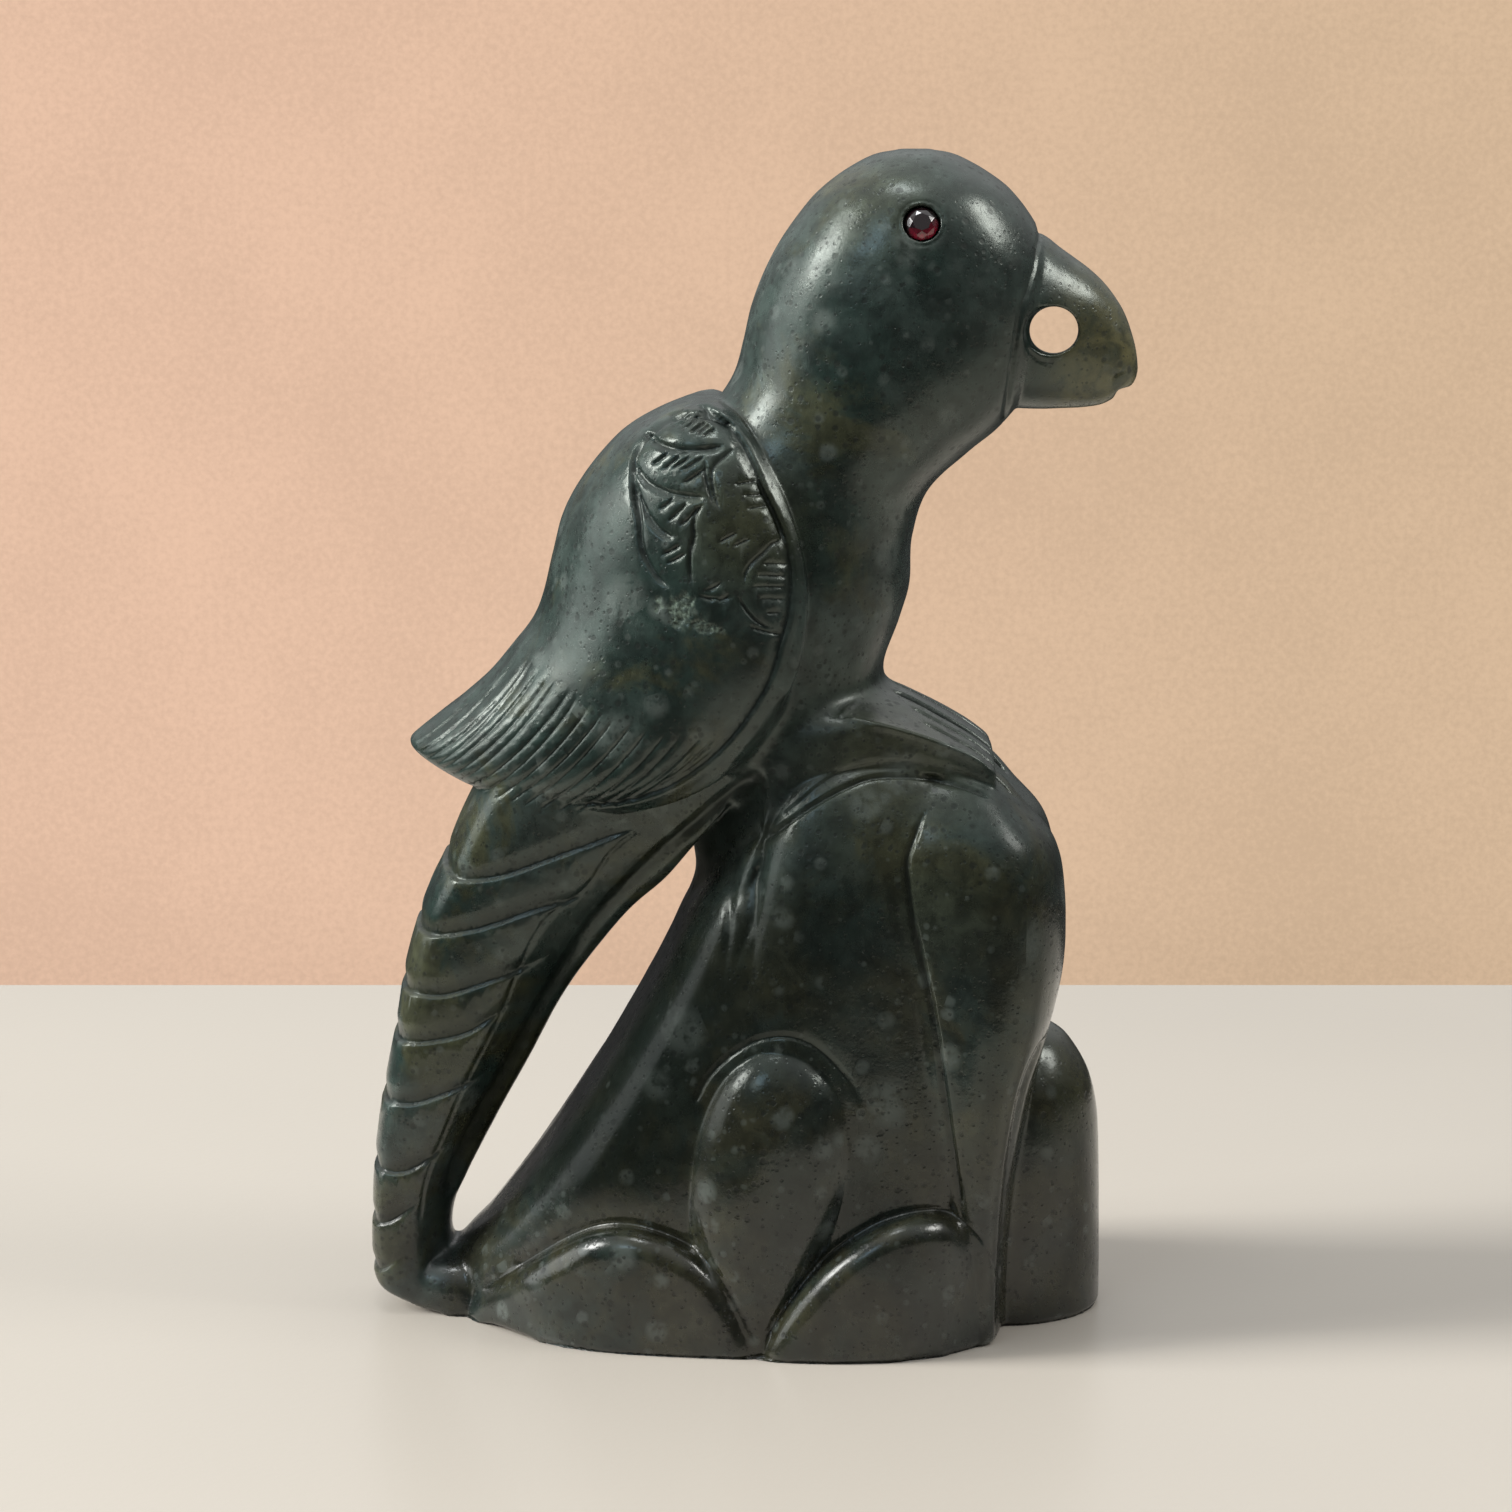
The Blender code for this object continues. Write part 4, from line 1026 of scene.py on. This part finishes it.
def backdrop_material(name, colour, shaded_right_colour, one_sided):
    """A plain lit sheet whose painted light fades slowly from left to right, with painted shade along its foot.
    One-sided, it isn't seen from behind.
    """
    material, made, _, position = new_material(name)
    nodes = material.node_tree.nodes
    nodes.remove(nodes["Principled BSDF"])
    along, _, height = made.node("ShaderNodeSeparateXYZ", {0: position})
    # Painted light: the sheet dims slowly from left to right.
    base = made.blend(made.smooth(along, -0.14, 0.16), colour, shaded_right_colour)
    paper = made.noise(position, 0.0014, 3, 0.6) * 0.6 + made.noise(position, 0.05, 3) * 0.4
    # The paper's grain, times painted shade along the bottom where the sheet meets the floor.
    paper_and_shade = made.smooth(paper, 0.32, 0.68, 0.93, 1.07) * made.smooth(height, 0.0, 0.03, 0.94, 1.0)
    out = made.node("ShaderNodeEmission", {"Color": base, "Strength": paper_and_shade})[0]
    if one_sided:
        clear = made.node("ShaderNodeBsdfTransparent")[0]
        behind = made.node("ShaderNodeNewGeometry")["Backfacing"]
        out = made.node("ShaderNodeMixShader", {0: behind, 1: out, 2: clear})[0]
    made.feed(nodes["Material Output"].inputs["Surface"], out)
    return material


# ---------------------------------------------------------------------------------------------------------------------
# Building the pieces

# A stone with fewer faces than this has come out empty.
LEAST_FACES = 1000


def eye_place(side):
    return Vector((EYE_PLACE[0], -side * EYE_PLACE[1], EYE_PLACE[2])) * UNIT


def eye_frame(side):
    """The matrix that stands a form on the head at an eye, with +Z along the way that the eye looks."""
    x, y, z = EYE_AXIS
    axis = Vector((x, -side * y, z))
    return Matrix.Translation(eye_place(side)) @ axis.to_track_quat("Z", "Y").to_matrix().to_4x4()


def cutter(name, rings):
    return link(name, new_mesh(name, [skin(rings)]))


def head_cutters(form, eye):
    """What is taken out of the head: the hole in the beak, the step behind its tip and the sockets of the eyes."""
    turn = np.linspace(0, 2 * math.pi, 96, endpoint=False)
    throat = form.beak_hole / 2
    # The hole is drilled by hand, a little aslant. It opens out towards its mouths.
    yield cutter("beak_hole_cut", [
        np.stack([(BEAK_HOLE[0] + aside) * UNIT + throat * radius * 1.02 * np.cos(turn), np.full(96, y * UNIT),
                  (BEAK_HOLE[1] + rise) * UNIT + throat * radius * 0.97 * np.sin(turn)], 1)
        for y, radius, aside, rise in BEAK_HOLE_RINGS])
    outline = np.array(BEAK_NOTCH, float) * UNIT
    yield cutter("beak_notch_cut", [
        np.stack([outline[:, 0], np.full(len(outline), y * UNIT), outline[:, 1]], 1)
        for y in (-NOTCH_REACH, NOTCH_REACH)])
    radius = eye.diameter / 2 + eye.gap
    for side in (-1, 1):
        socket = cutter("socket_cut", [
            np.stack([radius * np.cos(turn), radius * np.sin(turn), np.full(96, depth * UNIT)], 1)
            for depth in SOCKET_DEPTHS])
        socket.data.transform(eye_frame(side))
        yield socket


def cut_forms(name, forms, cutters):
    """The forms, each with the cutters taken out of it."""
    out = []
    for shape in forms:
        obj = link(name, new_mesh(name, [shape]))
        for taken in cutters:
            cut = obj.modifiers.new(taken.name, "BOOLEAN")
            cut.operation, cut.solver, cut.object = "DIFFERENCE", "EXACT", taken
        mesh = baked(obj, name)
        out.append((mesh_points(mesh), [list(face.vertices) for face in mesh.polygons]))
        drop(obj)
        bpy.data.meshes.remove(mesh)
    return out


def rough_stone(form, eye):
    """All the forms side by side, with the beak hole and the eye sockets already cut."""
    cutters = list(head_cutters(form, eye))
    forms = cut_forms("head", [loft(form, BODY, oval(2.15)), loft(form, BEAK, oval(2.2))], cutters)
    drop(*cutters)
    forms += [loft(form, *parts) for parts in (
        (WINGS, shell), (TAIL, blade), (WEB, wedge), (HEEL, oval(2.8)), (FEET, instep), (ROCK, boulder),
        (FRONT_STONE, oval(2.0)))]
    for side in (-1, 1):
        forms += [loft(form, *parts, side) for parts in (
            (TALL_STONE, oval(3.8, 2.7)), (HANGING_STONE, slab), (EGG_STONE, oval(2.35)))]
        forms += [relief(form, LEFT_STONE, LEFT_PLAN, side), relief(form, RIGHT_STONE, RIGHT_PLAN, side)]
    return new_mesh("rough_stone", forms)


def carved_groups(lines):
    """Every group of carved lines: lines, depth, left and right width, sharpness, then how it fades and where it cuts.

    Depths and widths are in units.
    """
    ring = [(EYE_PLACE[0] + EYE_RING_RADIUS * math.cos(a), EYE_RING_HEIGHT + 0.97 * EYE_RING_RADIUS * math.sin(a))
            for a in np.linspace(0, 2 * math.pi, 25)]
    ledge, crease = lines.ledge_height / UNIT, lines.crease_depth / UNIT
    soft, hard = 0.0025, 0.0003
    side = dict(Nearest=6 * UNIT)
    toes = dict(Look=(0.0, 0.0, 1.0), Nearest=92 * UNIT, Farthest=112 * UNIT, Facing=0.1)
    outline = dict(Facing=-0.25, Nearest=-0.1)
    return [
        ([WING_RIM], 0.55, 0.6, 2.4, 0.5, soft, soft, side),
        ([WING_RIM], -0.30, 2.2, 0.1, 0.0, soft, soft, side),
        ([SCALE_ZONE], 0.75, 0.7, 0.8, 0.1, soft, soft, dict(Nearest=0.0, Facing=-0.1)),
        (SCALES, 0.75, 0.6, 1.5, 0.4, soft, soft, side),
        (LEAVES, 0.55, 0.55, 0.55, 0.3, soft, soft, side),
        (TAIL_LEDGES, ledge, 3.6, 0.6, 0.7, hard, 0.007, outline),
        ([TAIL_DIVIDE], 0.25, 0.5, 0.7, 0.5, soft, soft, dict(Nearest=4 * UNIT)),
        ([TAIL_HOLLOW], 0.7, 2.4, 1.8, 0.1, soft, soft, dict(Nearest=4 * UNIT)),
        ([FOOT_EDGE], 0.6, 0.9, 0.5, 0.3, soft, soft, side),
        (FOOT_RIDGE, -0.45, 0.8, 0.9, 0.6, soft, soft, dict(Nearest=6 * UNIT, Facing=-0.1)),
        ([FOOT_BAND], 0.3, 0.5, 1.8, 0.4, soft, soft, side),
        (TOES, 2.8, 1.4, 1.4, 0.2, soft, hard, toes),
        (TOE_SLOTS, 2.2, 1.3, 1.3, 0.1, soft, hard, toes),
        (TOE_LINES, 0.8, 0.8, 0.8, 0.5, soft, hard, toes),
        ([BEAK_STEP], 0.40, 0.5, 1.3, 0.4, hard, hard, outline),
        ([BEAK_MOUTH], 0.25, 0.6, 0.6, 0.2, soft, soft, side),
        ([TIP_LINE], 0.35, 0.4, 0.4, 0.3, soft, soft, dict(Nearest=0.0)),
        ([MIDDLE_CREASE], 0.8 * crease, 1.0, 0.9, 0.4, 0.006, 0.010, side),
        (FOLDS, 0.34, 1.4, 1.4, 0.4, soft, 0.012, side),
        ([EGG_RING], 0.45, 1.2, 0.6, 0.3, soft, 0.008, side),
        ([LEFT_LOBE], 0.30, 1.2, 0.5, 0.4, soft, soft, side),
        ([RIGHT_LOBE], 0.30, 1.2, 0.5, 0.4, soft, soft, side),
        ([FRONT_EDGE], 0.7 * crease, 1.0, 1.4, 0.3, soft, soft, dict(Nearest=3 * UNIT)),
        ([ring], 0.16, 0.4, 0.4, 0.3, hard, hard, side),
    ]


def stroke_rows(lines):
    """Every row of strokes: rails and count, crowding at each rail, bow, fades, depth, half width, nearest cut."""
    quill, hatch = (lines.quill_depth, lines.quill_width), (lines.hatch_depth, lines.hatch_width)
    return [
        (QUILL_STARTS, QUILL_ENDS, lines.quills, 1.65, 1.6, 0.05, (0.14, 0.02), *quill, 0.0),
        (*FINE_QUILLS, 1.0, 1.0, 0.05, (0.3, 0.3), 0.7 * quill[0], 0.8 * quill[1], 0.006),
        *((*row, 1.0, 1.0, 0.03, (0.15, 0.3), *hatch, 0.0) for row in SCALE_HATCH),
        *((*row, 1.0, 1.0, 0.03, (0.2, 0.2), 0.9 * hatch[0], hatch[1], 0.006) for row in LEAF_HATCH)]


def hang_lines(stone, form, lines, jade):
    """Adds every carving step to the stone, and returns the hidden curves that they follow."""
    drawn_lines, row_nodes, cut, melt, flake = lines_tree(), rows_tree(), cut_tree(), melt_tree(), chip_tree()
    hurry = 1
    helpers, cuts = [], []
    for seams, width, times in ((SEAMS, SEAM_WIDTH, form.melting), (SOFT_SEAMS, SOFT_SEAM_WIDTH, form.melting // 3)):
        curve = curve_of("seams", seams)
        apply_tree(curve, drawn_lines, jade)
        apply_tree(stone, melt, jade, Seams=curve, Width=width * UNIT, Melting=times // hurry)
        helpers.append(curve)
    for stations, depth, left, right, sharpness, fade_in, fade_out, where in carved_groups(lines):
        curve = curve_of("carved_lines", stations, on_plan="Look" in where)
        apply_tree(curve, drawn_lines, jade, Fade_In=fade_in, Fade_Out=fade_out)
        helpers.append(curve)
        cuts.append((curve, dict(Depth=depth * UNIT, Left_Width=left * UNIT, Right_Width=right * UNIT,
                                 Sharpness=sharpness, **where)))
    for first, second, count, crowding, end_crowding, bow, fades, depth, width, nearest in stroke_rows(lines):
        rails = [curve_of("rail", [rail]) for rail in (first, second)]
        strokes = link("strokes", bpy.data.meshes.new("strokes"))
        strokes.hide_render = True
        apply_tree(strokes, row_nodes, jade, First_Rail=rails[0], Second_Rail=rails[1], Count=count,
                   Crowding=crowding, End_Crowding=end_crowding, Bow=bow, Unevenness=0.2, Fade_In=fades[0],
                   Fade_Out=fades[1], Seed=lines.seed)
        helpers += [strokes, *rails]
        cuts.append((strokes, dict(Depth=depth, Left_Width=width, Right_Width=width, Sharpness=0.35,
                                   Nearest=nearest, Facing=0.02, Hand=0.06)))
    for order, (target, values) in enumerate(cuts):
        apply_tree(stone, cut, jade, Lines=target, Seed=float(lines.seed + order), **values)
    for centre, size, tilt in FLAKES:
        apply_tree(stone, flake, jade, Centre=scaled(centre), Size=scaled(size), Tilt=math.radians(tilt),
                   Depth=FLAKE_DEPTH, Grain=FLAKE_GRAIN, Seed=float(lines.seed))
    return helpers


def carve_stone(form, lines, finish, eye):
    """The whole carving as one polished stone."""
    jade = jade_material(finish)
    stone = link("stone_in_work", rough_stone(form, eye))
    joined = stone.modifiers.new("One skin", "REMESH")
    joined.mode, joined.voxel_size = "VOXEL", form.grain * 1.0
    joined.use_smooth_shade = True
    stone.modifiers.new("Rubbed", "SMOOTH").iterations = form.rubbing // 1
    apply_tree(stone, one_stone_tree(), jade, Wave=form.wave, Seed=float(lines.seed))
    helpers = hang_lines(stone, form, lines, jade)

    fine = baked(stone, "finest_skin")
    flat = mesh_points(fine)
    flat[:, 2] = np.maximum(flat[:, 2], 0)
    fine.vertices.foreach_set("co", flat.ravel())
    fine.update()
    drop(stone, *helpers)

    finest = link("finest_skin", fine)
    finest.hide_render = True
    light = link("light_skin", fine.copy())
    triangles = sum(len(face.vertices) - 2 for face in fine.polygons)
    light.modifiers.new("Fewer faces", "DECIMATE").ratio = min(1.0, form.triangles / triangles)
    apply_tree(light, polish_tree(), jade, Finest=finest)
    mesh = baked(light, "jade_bird")
    slope = np.empty(len(mesh.vertices) * 3, np.float32)
    mesh.attributes["slope"].data.foreach_get("vector", slope)
    mesh.attributes.remove(mesh.attributes["slope"])
    drop(light, finest)
    mesh.polygons.foreach_set("use_smooth", np.ones(len(mesh.polygons), bool))
    mesh.normals_split_custom_set_from_vertices(slope.reshape(-1, 3).tolist())
    mesh.update()
    mesh.materials.clear()
    mesh.materials.append(jade)
    return link("jade_bird", mesh)


def cut_gem(eye, name, side, material):
    """A round brilliant: a table, star, kite and girdle facets above, a pavilion below."""
    form = bmesh.new()
    radius = eye.diameter / 2
    for count, across, height, turn in GEM_RINGS:
        for step in range(count):
            angle = (step + turn) * 2 * math.pi / count
            form.verts.new((across * radius * math.cos(angle), across * radius * math.sin(angle), height * radius))
    bmesh.ops.convex_hull(form, input=form.verts)
    bmesh.ops.dissolve_limit(form, angle_limit=0.02, verts=form.verts, edges=form.edges)
    bmesh.ops.bevel(form, geom=form.edges, offset=GEM_EDGE, segments=1, affect="EDGES")
    bmesh.ops.recalc_face_normals(form, faces=form.faces)
    bmesh.ops.transform(form, matrix=eye_frame(side), verts=form.verts)
    mesh = bpy.data.meshes.new(name)
    form.to_mesh(mesh)
    form.free()
    # Painted glow: facets that look down and forwards hold more of it, a red that stands in for light shining out
    # through the stone's lower front.
    fire = mesh.attributes.new("fire", "FLOAT", "FACE")
    chance = np.random.default_rng(5)
    for face in mesh.polygons:
        away = (face.center - eye_place(side)) / radius
        low = max(0.0, 0.35 * away.x - 0.9 * away.z)
        fire.data[face.index].value = min(1.0, low * (0.7 + 0.6 * chance.random()))
    mesh.materials.append(material)
    return link(name, mesh)


# ---------------------------------------------------------------------------------------------------------------------
# The stage, in metres

FLOOR_REACH, WALL_PLACE, WALL_TOP = 3.0, 0.248, 1.6
BACKDROP_RADIUS, BACKDROP_TOP, BACKDROP_COLOUR = 2.9, 2.5, (0.70, 0.65, 0.58)
NEAR_FLOOR = [(-0.22, -0.08, 0), (-0.03, -0.15, 0), (0.01, -0.34, 0), (1.3, -0.34, 0), (1.3, 0.22, 0),
              (-0.22, 0.22, 0)]
# Each softbox: the setting of its power, its name, where it stands and what it looks at, its size and its colour.
SOFTBOXES = [
    ("key", "key_softbox", (-0.92, -0.20, 0.78), (0, 0, 0.16), (0.34, 0.30), (1.0, 0.99, 0.97)),
    ("panel", "left_panel", (-1.10, -0.02, 0.41), (0, 0, 0.16), (0.80, 0.52), (0.97, 1.0, 1.0)),
    ("second", "second_softbox", (0.84, -0.16, 0.84), (0.03, 0, 0.17), (0.34, 0.34), (1.0, 0.98, 0.95)),
    ("top", "top_softbox", (-0.12, -0.16, 1.20), (0, 0, 0.08), (0.26, 0.16), (0.95, 0.98, 1.0)),
    ("blue", "blue_softbox", (-0.42, -0.72, 0.74), (0, 0, 0.08), (0.24, 0.18), (0.55, 0.78, 1.0)),
    ("side", "side_light", (-3.04, -0.24, 1.36), (0, 0, 0.05), (0.96, 0.96), (1.0, 0.985, 0.96)),
]
# Where the camera stands and what it looks at, in units.
VIEWPOINT, VIEW_TARGET = (1.4, -700.0, 215.0), (1.4, 0.0, 96.617)


def softbox(name, power, place, target, size, colour):
    data = bpy.data.lights.new(name, "AREA")
    data.shape, (data.size, data.size_y) = "RECTANGLE", size
    data.energy, data.color = power, colour
    obj = link(name, data)
    obj.location = place
    obj.rotation_euler = (Vector(target) - Vector(place)).to_track_quat("-Z", "Y").to_euler()
    obj.visible_camera = False
    return obj


def stage_mesh(name, points, faces, material):
    mesh = bpy.data.meshes.new(name)
    mesh.from_pydata(points, [], faces)
    mesh.materials.append(material)
    obj = link(name, mesh)
    return obj


def lay_floor(studio):
    """The floor is one sheet in two parts: only the near part shows in the carving's polish."""
    floor, far = floor_material(studio), FLOOR_REACH
    stage_mesh("floor_near", NEAR_FLOOR, [tuple(range(6))], floor)
    outer = stage_mesh("floor_far", NEAR_FLOOR + [(-far, -far, 0), (far, -far, 0), (far, far, 0), (-far, far, 0)],
                       [(6, 7, 3, 2, 1, 0), (7, 8, 4, 3), (8, 9, 5, 4), (9, 6, 0, 5)], floor)
    outer.visible_glossy = False


def hang_backdrops(studio):
    """The plain wall, and a sheet all round that shows from the other sides. Neither lights the carving."""
    far, back, top = FLOOR_REACH, WALL_PLACE, WALL_TOP
    wall = stage_mesh("wall", [(-far, back, 0), (far, back, 0), (far, back, top), (-far, back, top)], [(0, 1, 2, 3)],
                      backdrop_material("plain_wall", studio.wall, studio.wall_shaded_right, True))
    turn = np.linspace(0, 2 * math.pi, 96, endpoint=False)
    ring = [(BACKDROP_RADIUS * math.cos(a), BACKDROP_RADIUS * math.sin(a), z) for z in (0.0, BACKDROP_TOP)
            for a in turn]
    around = stage_mesh("far_backdrop", ring, [((i + 1) % 96, i, 96 + i, 96 + (i + 1) % 96) for i in range(96)],
                        backdrop_material("far_backdrop", BACKDROP_COLOUR, BACKDROP_COLOUR, False))
    for sheet in (wall, around):
        sheet.visible_glossy = sheet.visible_diffuse = sheet.visible_shadow = False
        sheet.visible_transmission = False


def soft_room():
    """The room's light comes from above, and a little more from behind."""
    world = bpy.data.worlds.new("soft_room")
    world.use_nodes = True
    made = Tree(world.node_tree)
    _, behind, above = made.node("ShaderNodeSeparateXYZ", {0: made.node("ShaderNodeTexCoord")["Generated"]})
    light = made.smooth(above * 0.9 + behind * 0.22, 0.10, 0.85, 0.05, 0.85)
    made.feed(world.node_tree.nodes["Background"].inputs["Color"], made.grey(light))
    return world


def place_camera(studio):
    camera = bpy.data.cameras.new("camera")
    camera.lens, camera.sensor_width, camera.clip_start = studio.lens, 36.0, 0.01
    viewpoint = link("camera", camera)
    viewpoint.location = Vector(VIEWPOINT) * UNIT
    target = Vector(VIEW_TARGET) * UNIT
    viewpoint.rotation_euler = (target - viewpoint.location).to_track_quat("-Z", "Y").to_euler()
    return viewpoint


# ---------------------------------------------------------------------------------------------------------------------
# Operators


class JADEBIRD_OT_carve_stone(bpy.types.Operator):
    """Carve the bird, its rock and every line on them from one polished stone"""

    bl_idname = "jade_bird.carve_stone"
    bl_label = "Carve the Stone"

    def execute(self, context):
        scene = context.scene
        bird = carve_stone(scene.bird_form, scene.carved_lines, scene.jade_finish, scene.eye_stone)
        if len(bird.data.polygons) < LEAST_FACES:
            raise RuntimeError("the stone came out empty")
        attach(bird, "root")
        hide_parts("carving")
        return {"FINISHED"}


class JADEBIRD_OT_set_eyes(bpy.types.Operator):
    """Cut the two red stones and set one in each eye"""

    bl_idname = "jade_bird.set_eyes"
    bl_label = "Set the Eyes"

    def execute(self, context):
        eye = context.scene.eye_stone
        material = garnet_material(eye)
        for name, node, side in (("red_stone_right", "eye_right", -1), ("red_stone_left", "eye_left", 1)):
            gem = cut_gem(eye, name, side, material)
            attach(gem, "root")
            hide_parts(node)
        return {"FINISHED"}


class JADEBIRD_OT_set_stage(bpy.types.Operator):
    """Lay the pale floor, hang the plain wall, and place the soft lights and the camera"""

    bl_idname = "jade_bird.set_stage"
    bl_label = "Set the Stage"

    def execute(self, context):
        scene, studio = context.scene, context.scene.studio
        lay_floor(studio)
        hang_backdrops(studio)
        for power, name, *facts in SOFTBOXES:
            # The side light casts the shadow on the floor, and doesn't show in the polish.
            softbox(name, getattr(studio, power), *facts).visible_glossy = power != "side"
        scene.world = soft_room()
        scene.camera = place_camera(studio)
        scene.view_settings.view_transform = "Standard"
        return {"FINISHED"}


class JADEBIRD_PT_panel(bpy.types.Panel):
    bl_label = "Jade Bird"
    bl_idname = "JADEBIRD_PT_panel"
    bl_space_type = "VIEW_3D"
    bl_region_type = "UI"
    bl_category = "Jade Bird"

    def draw(self, context):
        layout = self.layout
        for label, group, operator in (
            ("Form", "bird_form", "jade_bird.carve_stone"), ("Carved Lines", "carved_lines", None),
            ("Jade", "jade_finish", None), ("Eyes", "eye_stone", "jade_bird.set_eyes"),
            ("Studio", "studio", "jade_bird.set_stage"),
        ):
            settings = getattr(context.scene, group)
            box = layout.box()
            box.label(text=label)
            for name in type(settings).__annotations__:
                box.prop(settings, name)
            if operator:
                box.operator(operator)


GROUPS = {"bird_form": BirdForm, "carved_lines": CarvedLines, "jade_finish": JadeFinish, "eye_stone": EyeStone,
          "studio": Studio}
CLASSES = (*GROUPS.values(), JADEBIRD_OT_carve_stone, JADEBIRD_OT_set_eyes, JADEBIRD_OT_set_stage, JADEBIRD_PT_panel)


def register():
    for cls in CLASSES:
        bpy.utils.register_class(cls)
    for name, group in GROUPS.items():
        setattr(bpy.types.Scene, name, PointerProperty(type=group))


def unregister():
    for name in GROUPS:
        delattr(bpy.types.Scene, name)
    for cls in reversed(CLASSES):
        bpy.utils.unregister_class(cls)


def main():
    for name in ("Cube", "Light", "Camera"):
        if name in bpy.data.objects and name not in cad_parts:
            bpy.data.objects.remove(bpy.data.objects[name])
    register()
    bpy.ops.jade_bird.carve_stone()
    bpy.ops.jade_bird.set_eyes()
    bpy.ops.jade_bird.set_stage()


if __name__ == "__main__":
    main()
